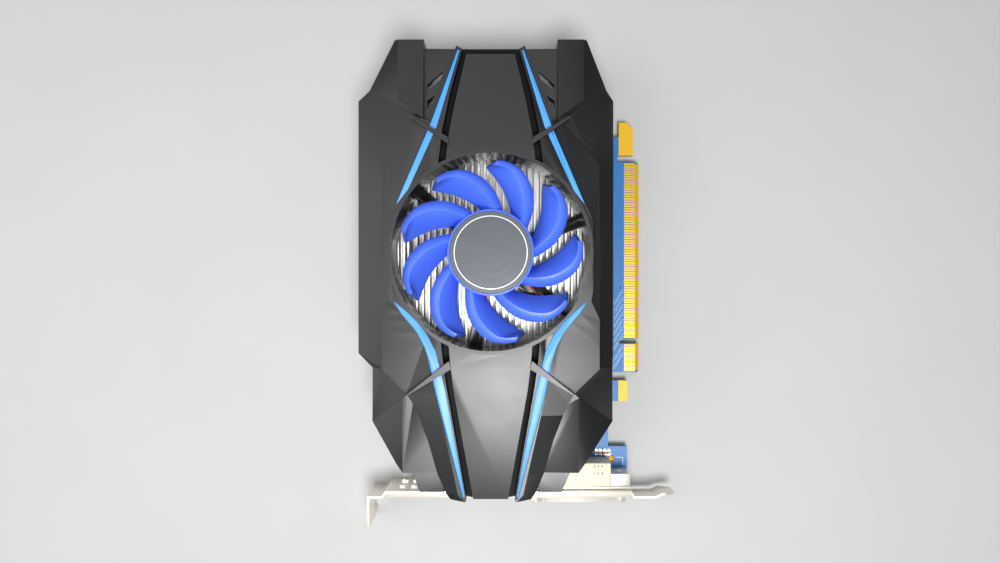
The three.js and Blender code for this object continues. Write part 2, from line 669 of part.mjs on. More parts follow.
function makeMotor() {
  const coreBottom = hubBottomZ + 1.9;
  const coreTop = hubTopZ - 4.6;
  const motorBoardZ = frameTopZ + seat;
  const board = tube(tubeOuter + seat, hubRadius - 3.6, motorBoardZ, motorBoardZ + motorBoardHeight);
  addPiece(card, 'motor_board', board, finishes.greenLaminate);
  const sleeve = tube(shaftRadius + runningFit, sleeveOuter, sleeveBottomZ, tubeTopZ + 2 * seat);
  addPiece(card, 'bearing_sleeve', sleeve, finishes.brass);
  const coreRadius = hubRadius - 4.6;
  const coreShape = (grow, z0, z1) => {
    const hub = rod(0, 0, 5.2 + grow, z0, z1);
    const arms = [0, 90].map((angle) => {
      const bar = block(-coreRadius + 1, coreRadius - 1, -1.7 - grow, 1.7 + grow, z0, z1);
      return bar.rotate([0, 0, angle]);
    });
    const rim = tube(coreRadius - 1.6 - grow, coreRadius + grow, z0, z1, 36);
    const gaps = [0, 1, 2, 3].map((i) => {
      const gap = block(0, coreRadius + 3, -1.1 + grow, 1.1 - grow, z0 - 1, z1 + 1);
      return gap.translate([7.5, 0, 0]).rotate([0, 0, 45 + 90 * i]);
    });
    return union([hub, ...arms, subtractAll(rim, gaps)]);
  };
  const bore = rod(0, 0, tubeOuter + seat, coreBottom - 2, coreTop + 2);
  addPiece(card, 'stator_core', coreShape(0, coreBottom, coreTop).subtract(bore), finishes.steel);
  const centre = rod(0, 0, 6.4, coreBottom - 1, coreTop + 1);
  const coils = [0, 90].map((angle) => {
    const box = block(-coreRadius + 2.4, coreRadius - 2.4, -3, 3, coreBottom - 1, coreTop + 1);
    return box.rotate([0, 0, angle]);
  });
  const wound = union([centre, ...coils]).subtract(coreShape(0.15, coreBottom - 0.15, coreTop + 0.15));
  addPiece(card, 'stator_winding', wound.subtract(bore), finishes.winding);
}

// The leading edge is the high one, and the blade falls towards the trailing edge.
function makeBlade() {
  const rootRadius = hubRadius - hubWall / 2;
  const edge = (side) => bladeEdges.map((row) => polar(rootRadius + row[0] * (tipRadius - rootRadius), row[side]));
  const leading = edge(1);
  const trailing = edge(2);
  const shape = new THREE.Shape([...leading, ...trailing.slice().reverse()].map(([x, y]) => new THREE.Vector2(x, y)));
  const geometry = new THREE.ExtrudeGeometry(shape, { depth: bladeThickness, bevelEnabled: false });
  const position = geometry.attributes.position;
  const drop = bladeTopZ - bladeBottomZ - bladeThickness;
  for (let i = 0; i < position.count; i += 1) {
    const near = ([x, y]) => Math.hypot(x - position.getX(i), y - position.getY(i)) < 1e-3;
    const rise = leading.some(near) ? drop : 0;
    position.setZ(i, bladeBottomZ + rise + position.getZ(i));
  }
  return toSolid(geometry);
}

function makeRotor() {
  const ceiling = hubTopZ - hubRoof;
  const shell = rod(0, 0, hubRadius, hubBottomZ, hubTopZ, 48);
  const hollow = rod(0, 0, hubRadius - hubWall, hubBottomZ - 1, ceiling, 48);
  const labelRecess = rod(0, 0, hubRadius - hubRim, hubTopZ - labelDepth, hubTopZ + 1, 48);
  const blade = makeBlade();
  const blades = [];
  for (let i = 0; i < bladeCount; i += 1) {
    blades.push(blade.rotate([0, 0, bladeRootAngle + (360 / bladeCount) * i]));
  }
  const rotor = subtractAll(shell.add(union(blades)), [hollow, labelRecess]);
  const boss = rod(0, 0, shaftBossRadius, ceiling - hubRoof, ceiling + 0.1);
  const shaftTop = hubTopZ - labelDepth - hubRoof / 2;
  const shaftHole = rod(0, 0, shaftRadius + seat, ceiling - hubRoof - 1, shaftTop + seat);
  addPiece(fan, 'fan_rotor', rotor.add(boss).subtract(shaftHole), finishes.bluePlastic);
  const cupOuter = hubRadius - hubWall - seat;
  const cupInner = cupOuter - cupWall;
  const cupTop = ceiling - seat;
  const cupBottom = hubBottomZ + 2 * seat;
  const cupHole = rod(0, 0, shaftBossRadius + seat, cupTop - 2, cupTop + 1);
  const cup = rod(0, 0, cupOuter, cupBottom, cupTop, 48).subtract(rod(0, 0, cupInner, cupBottom - 1, cupTop - cupWall, 48));
  addPiece(fan, 'rotor_cup', cup.subtract(cupHole), finishes.steel);
  const magnetOuter = cupInner - seat;
  const magnet = tube(magnetOuter - magnetWall, magnetOuter, cupBottom + cutGap, cupTop - 2 * cupWall, 48);
  addPiece(fan, 'magnet_ring', magnet, finishes.magnet);
  addPiece(fan, 'rotor_shaft', rod(0, 0, shaftRadius, shaftBottomZ, shaftTop), finishes.steel);
  const labelZ = hubTopZ - labelDepth + seat;
  const label = rod(0, 0, hubRadius - hubRim - cutGap, labelZ, labelZ + labelThickness, 48);
  addPiece(fan, 'hub_label', label, finishes.label);
}

// The lead follows its channel under the blades, crosses the fins and drops to its plug.
function makeLead() {
  const [channelX, channelY] = polar(1, leadAngle);
  const onChannel = frameBottomZ + channelHeight + leadRadius + seat;
  const onFins = finTopZ + leadRadius + 2 * seat;
  const at = (radius, z) => new THREE.Vector3(channelX * radius, channelY * radius, z);
  const [plugX, plugY] = header;
  const plugTop = headerSize[2] + 3 + seat;
  const route = new THREE.CatmullRomCurve3([
    at(hubRadius - 3, onChannel), at(hubRadius + 4, onChannel), at(ductRadius - 5, onChannel),
    at(ductRadius + 3, onFins + 0.5), new THREE.Vector3(30.5, -33, onFins + 0.1),
    new THREE.Vector3(plugX, -44, onFins + 0.1), new THREE.Vector3(plugX, sinkNearY - 3, onFins + 0.3),
    new THREE.Vector3(plugX, plugY + 1.5, onFins - 0.9), new THREE.Vector3(plugX, plugY, plugTop + 2.5),
    new THREE.Vector3(plugX, plugY, plugTop)
  ], false, 'centripetal');
  const section = new THREE.Shape();
  section.absarc(0, 0, leadRadius, 0, 2 * Math.PI, false);
  const geometry = new THREE.ExtrudeGeometry(section, { steps: 34, curveSegments: 4, extrudePath: route });
  addPiece(card, 'fan_lead', toSolid(geometry), finishes.wire);
}

// ---------------------------------------------------------------- cover
// The cover is drawn at one size, [x, y] from the fan axis for the right half,
// and stretched outside the fan duct to the reaches above.
const drawnFar = 78;
const drawnNear = 90.6;
const drawnWing = 47;
const drawnDuct = 39.5;

function placed(side, x, y) {
  const reach = coverWidth / 2 - side * coverShift;
  const far = (coverFarReach - drawnDuct) / (drawnFar - drawnDuct);
  const near = (coverNearReach - drawnDuct) / (drawnNear - drawnDuct);
  const wide = (reach - drawnDuct) / (drawnWing - drawnDuct);
  let placedY = y;
  if (y > drawnDuct) placedY = drawnDuct + (y - drawnDuct) * far;
  if (y < -drawnDuct) placedY = -drawnDuct + (y + drawnDuct) * near;
  const placedX = x > drawnDuct ? drawnDuct + (x - drawnDuct) * wide : x;
  return [side * placedX, placedY];
}

// Heights below are drops from the top of the cover.
function sideFacet(side, corners) {
  return facet(corners.map(([x, y, drop]) => [...placed(side, x, y), coverTopZ - drop]), coverSkirtZ);
}

const shoulderTop = [[35.3, 78, 6], [34, 78, 5], [24.5, 78, 5]];
const shoulderBevelLow = [34, 55.5, 2.7];
const shoulderInnerLow = [24.4, 48.4, 1.4];
const shoulderOuterLow = [43.6, 59.6, 6.6];
const wedgeLow = [28.9, 49.8, 3];
const wingTop = [47, 55.8, 7];
const wingMiddle = [47, 24.8, 7];
const wingLow = [47, -37, 7];
const creaseTurn = [39.5, 32.3, 3.8];
const creaseArc = [[36.8, 35.9, 3.4], [34.2, 39.6, 3.2], [32, 43.3, 3.1], [29.4, 48.6, 3]];
const wingCornerY = -42.3;
const lobeCornerY = -61.9;
const lobeReach = { left: 42.7, right: 46.4 }; // the lobes are not the same width
const lobeMeet = [30.4, -51.3];
const lobeFold = [[32.1, -52.9], [32.1, -80.3]];
const lobeLow = [34.6, -77];
// the curve between the band beside the stripe and the lobe, and the band's other edge, inside the ridge
const bandOuter = [[30.4, -51.3, 2.4], [28.2, -55, 2.35], [26.3, -59.1, 2.3], [22.7, -68.4, 2.4], [19.4, -80.1, 2.75],
  [16.3, -87.4, 3], [14.6, -89.7, 3.1]];
const bandInner = [[21, -46, 1], [19.5, -51, 1], [17.7, -59.1, 1.15], [15.6, -68.4, 1.4], [13, -80.1, 1.9],
  [11.3, -87.9, 2.3], [9.3, -90.6, 2.4]];
const midCorner = [39.5, -42.4];
const midOuter = [[39.5, -14, 1.7], [39.5, -19, 1.8], [39.5, -24.5, 1.95], [39.5, -29.5, 2.1], [39.5, -34.5, 2.2],
  [39.5, -42.4, 2.4]];
const ridgeOuterUp = [[12.4, 74.8, 2], [21.9, 47.2, 0.6], [24.4, 41, 0.4], [32.2, 22.3, 0.4], [34.9, 15.6, 0.4]];
const ridgeOuterSide = [[36.9, 11, 0.4], [36.9, -14, 0.4]];
const ridgeOuterDown = [[36.2, -17.4, 0.4], [32.4, -21.9, 0.4], [29.4, -25.2, 0.4], [26.6, -28.7, 0.4],
  [24.2, -33.5, 0.4], [22.5, -39, 0.4], [21, -46, 0.5], [20, -51, 0.7]];
const ridgeTip = [[11.8, -87.9, 2], [9.3, -90.6, 2.1]];
const grooveOuterUp = [[10.3, 73.6, 2], [14.6, 57.5, 1], [17.4, 43.8, 0.2], [18.6, 33.5, 0], [19, 30.4, 0]];
const grooveOuterDown = [[17.9, -31.4, 0], [17, -40.5, 0.1], [15.7, -49.5, 0.5], [8.8, -89.8, 2]];
const panelUp = [[8.8, 71.6, 1.6], [12.6, 55, 0.9], [14.8, 43.8, 0.3], [15.8, 36, 0], [16.2, 31, 0]];
const panelDown = [[15.2, -31.4, 0], [14.4, -41, 0.1], [13.3, -50, 0.4], [6.3, -89.3, 2]];

// Quadrilaterals between two lines of corners.
function strip(outer, inner) {
  return outer.slice(1).map((corner, i) => [outer[i], corner, inner[i + 1], inner[i]]);
}

function sideFacets(side) {
  const [topOuter, topBevel, topInner] = shoulderTop;
  const [foldTop, foldBottom] = lobeFold;
  const reach = side > 0 ? lobeReach.right : lobeReach.left;
  const wingCorner = [reach, wingCornerY, 6.4];
  const lobeOuter = [reach, lobeCornerY, 6];
  const midInner = [[36.9, -14, 1.4], ...ridgeOuterDown.slice(0, 5).map(([x, y]) => [x, y, 1.2])];
  const lobeDrops = [2.2, 2.45, 2.7, 3.05, 3.5];
  const shapes = [
    [topBevel, topInner, shoulderInnerLow, shoulderBevelLow],
    [topOuter, topBevel, shoulderBevelLow, shoulderOuterLow],
    [shoulderOuterLow, shoulderBevelLow, shoulderInnerLow, wedgeLow],
    [shoulderOuterLow, wedgeLow, [29.4, 48.6, 3], ...creaseArc.slice(0, 3).reverse(), creaseTurn,
      wingMiddle, wingTop],
    [wingMiddle, creaseTurn, [39.5, -14, 3.8], [...midCorner, 3.8], wingCorner, wingLow],
    // upper middle facet, between the crease and the ridge
    [[39.5, 32.3, 2.9], ...creaseArc.map(([x, y, drop]) => [x, y, drop - 0.4]), [28.9, 49.8, 2.4],
      shoulderInnerLow.slice(0, 2).concat(2), ...ridgeOuterUp.slice(1).map(([x, y]) => [x, y, 1.2]),
      [36.9, 11, 1.5], [36.9, -14, 1.4], [39.5, -14, 1.7]],
    // lower middle facet, down to the bar
    ...strip(midOuter, midInner),
    [[...midCorner, 2.4], ...ridgeOuterDown.slice(4, 7).map(([x, y]) => [x, y, 1.2]), [...lobeMeet, 2.6]],
    ...strip(bandOuter, bandInner),
    // the three faces of the lobe
    [wingCorner, [...midCorner, 5.6], [...lobeMeet, 3.2], [...foldTop, 3.6], lobeOuter],
    [lobeOuter, [...foldTop, 2.6], [...foldBottom, 3.8], [...lobeLow, 4.4]],
    [[...foldTop, 2.4], ...bandOuter.slice(0, 5).map(([x, y], i) => [x, y, lobeDrops[i]]), [...foldBottom, 3.6]]
  ];
  return shapes.map((corners) => sideFacet(side, corners));
}

function ridge(side) {
  const corners = [...ridgeOuterUp, ...ridgeOuterSide, ...ridgeOuterDown, ...ridgeTip,
    ...grooveOuterDown.slice().reverse(), ...grooveOuterUp.slice().reverse()];
  return sideFacet(side, corners);
}

// Level strips across the panel, each joined to the next along one edge.
function centrePanel() {
  const right = [...panelUp, ...panelDown].map(([x, y, drop]) => [...placed(1, x, y), coverTopZ - drop]);
  const left = right.map(([x, y, z]) => [-x, y, z]);
  const strips = right.slice(1).map((corner, i) => facet([right[i], corner, left[i + 1], left[i]], coverSkirtZ));
  return union(strips);
}

// Low floor that joins the panel, the ridges and the recesses beside the shoulders.
function coverFloor() {
  const halfOutline = (side) => [[9, 74.6], [24.6, 74.8], [24.6, 46], [36.5, 20], [36.5, -20], [20.2, -50],
    [12, -88.6], [7, -89.7]].map(([x, y]) => placed(side, x, y));
  const outline = [...halfOutline(1), ...halfOutline(-1).reverse()];
  return plate(outline, coverSkirtZ, grooveFloorZ - 0.6);
}

function lowerLip(side) {
  const corners = [[30.6, -79, 9], [18.8, -79, 9], [17.4, -88.9, 9], [26.3, -88.9, 9]];
  return facet(corners.map(([x, y, drop]) => [...placed(side, x, y), coverTopZ - drop]), coverTopZ - 14);
}

// Wedge-shaped bars, narrow at the crease and wide where they reach the panel.
const barOutlines = [
  [[29, 49], [28.3, 47.7], [14.9, 38.4], [15.4, 41.2]],
  [[30.6, -51.9], [30.2, -51.3], [14.9, -39.1], [14.2, -42]]
];

function diagonalBars(side) {
  const top = coverTopZ + barRise;
  return barOutlines.map((outline) => plate(outline.map(([x, y]) => placed(side, x, y)), coverTopZ - barDepth, top));
}

function ventSlots(side) {
  const slots = [
    [[23.4, 61.6], [17.4, 66.6], [18.4, 63.4], [23.4, 59.4]],
    [[23.4, 55.6], [20.6, 57.6], [21.2, 54.8], [23.4, 53]]
  ];
  return slots.map((outline) => plate(outline.map(([x, y]) => placed(side, x, y)), coverSkirtZ, coverTopZ));
}

// Stripe outlines on the ridge, shared by the pockets and by the inserts.
function stripeOutlines(side) {
  const upper = [[12, 73.6], [21.7, 46.6], [31.9, 22.6], [34.2, 16.6], [29.6, 22.4], [19.3, 45.2], [11.1, 73.2]];
  const lower = [[35.2, -17.4], [32.2, -22.3], [29, -26], [26.3, -29.4], [23.9, -34.2], [22.2, -39.6],
    [19.8, -51.4], [9.9, -89.6], [9.2, -88.6], [16.2, -50.2], [18.3, -41.2], [19.8, -35.4], [22.8, -29.7],
    [26.2, -25.2], [29.4, -22]];
  return [upper, lower].map((outline) => outline.map(([x, y]) => placed(side, x, y)));
}

// Each corner moved inwards along its bisector; the move is limited at a sharp tip.
function inset(outline, distance) {
  const turn = Math.sign(THREE.ShapeUtils.area(outline.map(([x, y]) => ({ x, y }))));
  return outline.map(([x, y], i) => {
    const before = outline[(i + outline.length - 1) % outline.length];
    const after = outline[(i + 1) % outline.length];
    const a = new THREE.Vector2(x - before[0], y - before[1]).normalize();
    const b = new THREE.Vector2(after[0] - x, after[1] - y).normalize();
    const normal = new THREE.Vector2(-a.y - b.y, a.x + b.x).normalize().multiplyScalar(turn);
    const stretch = 1 / Math.max(0.35, Math.abs(normal.dot(new THREE.Vector2(-a.y, a.x))));
    return [x + normal.x * distance * stretch, y + normal.y * distance * stretch];
  });
}

// Height of the ridge above the board at a distance from the fan axis along Y.
function ridgeHeightAt(y) {
  const reach = y > 0 ? coverFarReach : coverNearReach;
  const t = THREE.MathUtils.clamp((Math.abs(y) - drawnDuct) / (reach - drawnDuct), 0, 1);
  return coverTopZ - 0.4 - 1.7 * t;
}

function stripeSolid(outline, bottomDrop, topDrop) {
  const corners = outline.map(([x, y]) => [x, y, ridgeHeightAt(y) - topDrop]);
  const solid = facet(corners, coverTopZ - 8);
  const under = facet(outline.map(([x, y]) => [x, y, ridgeHeightAt(y) - bottomDrop]), coverTopZ - 9);
  return solid.subtract(under);
}

function coverCavity() {
  const inner = (side) => [[33.6, 76], [41.6, 57.6], [45, 54.6], [45, -35.8], [41, -40.8], [40.6, -60],
    [31.4, -78], [17, -78], [14.6, -87.4]].map(([x, y]) => placed(side, x, y));
  const low = plate([...inner(1), ...inner(-1).reverse()], coverSkirtZ - 1, coverTopZ - 9.6);
  const middle = (side) => [[21.6, 72], [21.6, 44], [33, 20], [33, -20], [17, -50], [9, -86]]
    .map(([x, y]) => placed(side, x, y));
  const high = plate([...middle(1), ...middle(-1).reverse()], coverSkirtZ - 1, grooveFloorZ - 2.6);
  const underPanel = (side) => [[7, 70], [12.6, 44], [12.6, -44], [5, -86]].map(([x, y]) => placed(side, x, y));
  const top = plate([...underPanel(1), ...underPanel(-1).reverse()], coverSkirtZ - 1, coverTopZ - 4.4);
  return union([low, high, top]);
}

function makeCover() {
  const parts = [centrePanel(), coverFloor()];
  for (const side of [-1, 1]) {
    parts.push(...sideFacets(side), ridge(side), lowerLip(side));
  }
  const duct = tube(ductRadius, ductRadius + ductWall, ductBottomZ, coverTopZ, 60);
  let cover = union(parts).subtract(coverCavity()).add(duct);
  for (const side of [-1, 1]) {
    cover = subtractAll(cover, ventSlots(side));
    // each stripe lies in a pocket in the ridge and passes under a diagonal bar
    const pocketDrop = stripeBelow + stripeThickness + seat;
    for (const outline of stripeOutlines(side)) {
      cover = cover.subtract(stripeSolid(outline, pocketDrop, -3));
    }
    const tunnels = stripeOutlines(side).map((outline) => stripeSolid(outline, pocketDrop, stripeBelow - seat));
    cover = cover.add(subtractAll(union(diagonalBars(side)), tunnels));
  }
  // air leaves at both ends, over the fins
  const endOpening = (y0, y1, half) => block(-half, half, y0, y1, coverSkirtZ - 1, grooveFloorZ - 6);
  cover = cover.subtract(endOpening(coverFarReach - 10, coverFarReach + 2, 22));
  cover = cover.subtract(endOpening(-coverNearReach - 2, -coverNearReach + 12, 30));
  cover = cover.subtract(rod(0, 0, ductRadius, 0, coverTopZ + 5, 60));
  const leadNotch = block(ductRadius - 3, ductRadius + 5, -2.6, 2.6, ductBottomZ - 1, ductBottomZ + 1.6);
  cover = cover.subtract(leadNotch.rotate([0, 0, leadAngle]));
  for (const [x, y] of coverScrews) {
    const post = rod(x, y, coverBossRadius, sinkTopOfBase + seat, coverTopZ - 7, 20);
    cover = cover.add(post).subtract(rod(x, y, 1.3, sinkTopOfBase - 1, sinkTopOfBase + 8, 12));
  }
  addPiece(card, 'fan_cover', largestBody(cover), finishes.blackPlastic);
}

function makeStripes() {
  for (const side of [-1, 1]) {
    const word = side < 0 ? 'left' : 'right';
    stripeOutlines(side).forEach((outline, i) => {
      const insert = stripeSolid(inset(outline, stripeGap), stripeBelow + stripeThickness, stripeBelow);
      addPiece(card, `stripe_${i ? 'near' : 'far'}_${word}`, insert, finishes.blueStripe);
    });
  }
}

makeBoard();
makeChips();
makeFanSocket();
makeBracket();
makeWideSocket();
makeNarrowSocket();
makeHeatsink();
makeCoolerScrews();
makeCoverScrews();
makeFanFrame();
makeMotor();
makeRotor();
makeLead();
makeCover();
makeStripes();

// Origin: under the middle of the card's box, on the plane it lies on.
const coverLeftX = placed(-1, drawnWing, 0)[0];
const middleX = (Math.min(bracketTopX, coverLeftX) + bracketTongueX) / 2;
const endY = bracketFaceY - flangeOffset - flangeReach;
const middleY = (endY + coverFarReach) / 2;
const object = new THREE.Group();
object.add(card, fan);
object.position.set(-middleX, -middleY, -bracketBottomZ);

export default object;
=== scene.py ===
import bpy
import bmesh
import json
import math
import random
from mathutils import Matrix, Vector


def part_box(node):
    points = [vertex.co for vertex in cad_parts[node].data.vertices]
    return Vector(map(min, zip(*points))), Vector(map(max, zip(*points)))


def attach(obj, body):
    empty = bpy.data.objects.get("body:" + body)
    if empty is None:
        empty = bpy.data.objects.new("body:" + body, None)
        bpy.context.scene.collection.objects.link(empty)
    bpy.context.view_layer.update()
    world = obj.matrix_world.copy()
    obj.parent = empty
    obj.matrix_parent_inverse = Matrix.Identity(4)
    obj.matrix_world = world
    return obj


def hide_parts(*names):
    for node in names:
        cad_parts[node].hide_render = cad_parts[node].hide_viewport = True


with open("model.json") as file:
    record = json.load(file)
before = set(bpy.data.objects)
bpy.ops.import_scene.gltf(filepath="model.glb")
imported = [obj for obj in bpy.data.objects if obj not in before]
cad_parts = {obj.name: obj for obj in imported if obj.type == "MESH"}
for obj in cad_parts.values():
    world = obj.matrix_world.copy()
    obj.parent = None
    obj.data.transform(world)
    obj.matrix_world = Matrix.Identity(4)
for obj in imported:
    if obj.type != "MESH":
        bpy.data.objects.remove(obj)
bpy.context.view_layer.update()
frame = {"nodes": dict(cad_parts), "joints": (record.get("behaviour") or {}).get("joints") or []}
print("frame loaded,", len(frame["nodes"]), "nodes")

# everything is placed in millimetres from the fan axis and the board's upper face
fanAxis = frame["joints"][0]["pos_m"]
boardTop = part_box("circuit_board")[1].z
mm = 0.001
weldGap = 0.002  # mm; corners closer than this are one corner
flatAngle = 0.8  # degrees; faces closer than this are one face


def at(x, y, z=0.0):
    return Vector((fanAxis[0] + x * mm, fanAxis[1] + y * mm, boardTop + z * mm))


def polar(radius, degrees, z=0.0):
    angle = math.radians(degrees)
    return (radius * math.cos(angle), radius * math.sin(angle), z)


# materials: every colour is an sRGB hex code, every pattern size is in millimetres
def tint(code, alpha=1.0):  # sRGB hex to linear
    parts = [int(code[i:i + 2], 16) / 255 for i in (0, 2, 4)]
    return tuple(c / 12.92 if c <= 0.04045 else ((c + 0.055) / 1.055) ** 2.4 for c in parts) + (alpha,)


def addNode(tree, kind, settings=None, inputs=None):
    node = tree.nodes.new(kind)
    for name, value in (settings or {}).items():
        setattr(node, name, value)
    for name, value in (inputs or {}).items():
        if isinstance(value, bpy.types.NodeSocket):
            tree.links.new(value, node.inputs[name])
        else:
            node.inputs[name].default_value = value
    return node


def makeSurface(name, base, patch, rough, spread=0.05, metallic=0.0, grainMm=0.4, grainDepth=0.01,
                patchMm=14, stretch=(1, 1, 1), fixed=None):
    # base and patch are the two colours that drift into each other over patchMm;
    # the grain is a bump of grainDepth mm, and stretch below 1 draws both out along that axis
    material = bpy.data.materials.new(name)
    material.use_nodes = True
    tree = material.node_tree
    shader = tree.nodes["Principled BSDF"]
    place = addNode(tree, "ShaderNodeTexCoord")
    placed = addNode(tree, "ShaderNodeMapping", inputs={"Vector": place.outputs["Object"], "Scale": stretch})
    drift = addNode(tree, "ShaderNodeTexNoise", inputs={
        "Vector": placed.outputs["Vector"], "Scale": 1000 / patchMm, "Detail": 5.0, "Roughness": 0.6})
    colour = addNode(tree, "ShaderNodeMix", {"data_type": "RGBA"}, {
        0: drift.outputs["Fac"], 6: tint(base), 7: tint(patch)})
    tree.links.new(colour.outputs[2], shader.inputs["Base Color"])
    grain = addNode(tree, "ShaderNodeTexNoise", inputs={
        "Vector": placed.outputs["Vector"], "Scale": 1000 / grainMm, "Detail": 2.0, "Roughness": 0.5})
    sheen = addNode(tree, "ShaderNodeMapRange", inputs={
        "Value": drift.outputs["Fac"], "From Min": 0.3, "From Max": 0.7,
        "To Min": rough - spread, "To Max": rough + spread})
    tree.links.new(sheen.outputs["Result"], shader.inputs["Roughness"])
    bump = addNode(tree, "ShaderNodeBump", inputs={
        "Height": grain.outputs["Fac"], "Strength": 1.0, "Distance": grainDepth * mm})
    tree.links.new(bump.outputs["Normal"], shader.inputs["Normal"])
    shader.inputs["Metallic"].default_value = metallic
    for key, value in (fixed or {}).items():
        shader.inputs[key].default_value = value
    return material


# spark-eroded ABS: a fine even grain of 0.4 mm that breaks up reflections
coverAbs = makeSurface("texturedAbs", "151618", "111214", 0.34, 0.03, grainMm=0.4, grainDepth=0.012,
                       patchMm=25, fixed={"IOR": 1.55})
# the same ABS left polished in the mould, on the fan opening and the fan frame
polishedAbs = makeSurface("polishedAbs", "14110e", "1c1814", 0.24, 0.05, grainMm=2.5, grainDepth=0.004,
                          fixed={"IOR": 1.36})
# near-black, low-gloss ABS: painted shade on the groove floors and low walls, also used on the rim of the
# opening
grooveShadeAbs = makeSurface("grooveShadeAbs", "060607", "09090a", 0.6, 0.05, grainMm=0.4, grainDepth=0.01,
                      fixed={"IOR": 1.25})
# painted ABS inserts: satin sky blue with faint orange peel
stripeBlue = makeSurface("satinBluePaint", "3d90e6", "52a2ee", 0.36, 0.05, grainMm=0.5, grainDepth=0.006,
                         fixed={"IOR": 1.48})
# glass-filled polyester: royal blue, slightly waxy, with flow clouds
rotorBlue = makeSurface("mouldedBluePolyester", "4568e6", "5176f2", 0.36, 0.06, grainMm=0.7, grainDepth=0.006,
                        patchMm=9, fixed={"IOR": 1.5, "Subsurface Weight": 0.04})
# nickel on rolled steel: bright and warm, a soft roll direction along X
nickelSheet = makeSurface("nickelledSteel", "f8f2e6", "efe7d9", 0.34, 0.05, 0.6, 0.7, 0.004, 18, (0.25, 1, 1))
# extruded aluminium: die lines along Y, drawn at 0.35 mm
finAluminium = makeSurface("extrudedAluminium", "e2e2e0", "cfcfcc", 0.44, 0.05, 1.0, 0.35, 0.003, 10,
                           (1, 0.2, 1))
# immersion gold on copper
goldFlash = makeSurface("immersionGold", "deb42c", "d2a620", 0.42, 0.06, 0.75, 0.5, 0.004, 5)
# solder mask left off over bare plated copper on the hook and the tab: flat, strong yellow
goldPad = makeSurface("platedPad", "e6b400", "dcaa04", 0.45, 0.05, 0.1, 0.6, 0.004, 8)
# dull gold where the edge was bevelled through the plating, over yellow laminate
bareEdge = makeSurface("bevelledLaminate", "dcae2f", "c79a28", 0.5, 0.08, 0.2, 0.3, 0.01, 4)
# tin-lead solder, frosted
solderTin = makeSurface("frostedSolder", "c9c9c6", "a9a9a6", 0.35, 0.1, 1.0, 0.4, 0.01, 2)
# moulded nylon, ivory
creamNylon = makeSurface("ivoryNylon", "efe6cd", "e3d8ba", 0.42, 0.06, grainMm=0.35, grainDepth=0.008,
                         fixed={"IOR": 1.52, "Subsurface Weight": 0.08})
# white legend ink, screened on the mask
whiteInk = makeSurface("screenedInk", "eef2f4", "dfe4e6", 0.6, 0.05, grainMm=0.3, grainDepth=0.004)
# black epoxy of the chip cases, with the fine grain of the mould
blackEpoxy = makeSurface("mouldedEpoxy", "1b1b1d", "242427", 0.5, 0.08, grainMm=0.25, grainDepth=0.012,
                         patchMm=5)
# steel with bright zinc, on screws, springs and the motor
zincSteel = makeSurface("zincSteel", "b9bbbd", "9c9fa3", 0.33, 0.08, 1.0, 0.3, 0.006, 3)
# oil-filled sintered bronze
bronze = makeSurface("sinteredBronze", "b98a4a", "9c7338", 0.45, 0.08, 1.0, 0.25, 0.01, 3)
# copper milled along Y
copperBar = makeSurface("milledCopper", "d07a4a", "b9673b", 0.3, 0.07, 1.0, 0.3, 0.006, 6, (1, 0.1, 1))
# enamelled copper wire, its turns 0.35 mm apart
enamelWire = makeSurface("enamelledCopper", "a9501c", "8c3f14", 0.22, 0.06, 0.6, 0.35, 0.05, 3)
# green mask of the chip carrier and the motor board
greenMask = makeSurface("greenSolderMask", "1f5c33", "2a6d3f", 0.35, 0.06, grainMm=0.6, grainDepth=0.01)
# polished back of the silicon
siliconDie = makeSurface("polishedSilicon", "5c616d", "6a6f7c", 0.12, 0.04, 0.6, 1.5, 0.002, 6)
# bonded ferrite powder, dull
ferrite = makeSurface("bondedFerrite", "2c2a28", "37332f", 0.8, 0.06, grainMm=0.3, grainDepth=0.02, patchMm=4)
# drawn aluminium: draw lines up the can
canister = makeSurface("drawnAluminiumCan", "cfd1d4", "b5b8bc", 0.25, 0.06, 1.0, 0.4, 0.004, 4, (1, 1, 0.1))
# fired ceramic of the small capacitors
ceramicBody = makeSurface("ceramicCapacitor", "a5825c", "8f6c48", 0.5, 0.06, grainMm=0.3, grainDepth=0.006,
                          patchMm=2)
# dark glazed resistor body
resistorGlaze = makeSurface("glazedResistor", "141518", "1e1f22", 0.25, 0.05, grainMm=0.4, grainDepth=0.004,
                            patchMm=2)
# navy ink on the sleeves of the cans
navyInk = makeSurface("navyInk", "1d2a6a", "243276", 0.4, 0.05, grainMm=0.4, grainDepth=0.003, patchMm=2)
# copper run under the blue mask, seen as a paler line
maskedCopper = makeSurface("maskedCopper", "8cbce4", "7aaedc", 0.36, 0.05, grainMm=0.5, grainDepth=0.003,
                           patchMm=6)
# thinner runs, close to the mask's own blue
quietCopper = makeSurface("quietCopper", "1d70b2", "2278ba", 0.36, 0.05, grainMm=0.5, grainDepth=0.003,
                          patchMm=6)
# extruded PVC of the three wires, with a soft shine
blackPvc = makeSurface("blackPvc", "1a1a1b", "242322", 0.4, 0.06, grainMm=0.5, grainDepth=0.01, patchMm=3)
redPvc = makeSurface("redPvc", "7a2418", "8e2e1e", 0.38, 0.06, grainMm=0.5, grainDepth=0.01, patchMm=3)
yellowPvc = makeSurface("yellowPvc", "b98a2c", "a97b22", 0.38, 0.06, grainMm=0.5, grainDepth=0.01, patchMm=3)
# silver ink of the ring on the label
silverInk = makeSurface("silverInk", "f2f2ee", "dedfdc", 0.3, 0.05, 0.3, 0.4, 0.002, 3)
# bright tin on the stamped shells of the sockets
whitePlate = makeSurface("tinnedShell", "faf6ee", "efeae0", 0.32, 0.05, 0.6, 0.6, 0.004, 9)


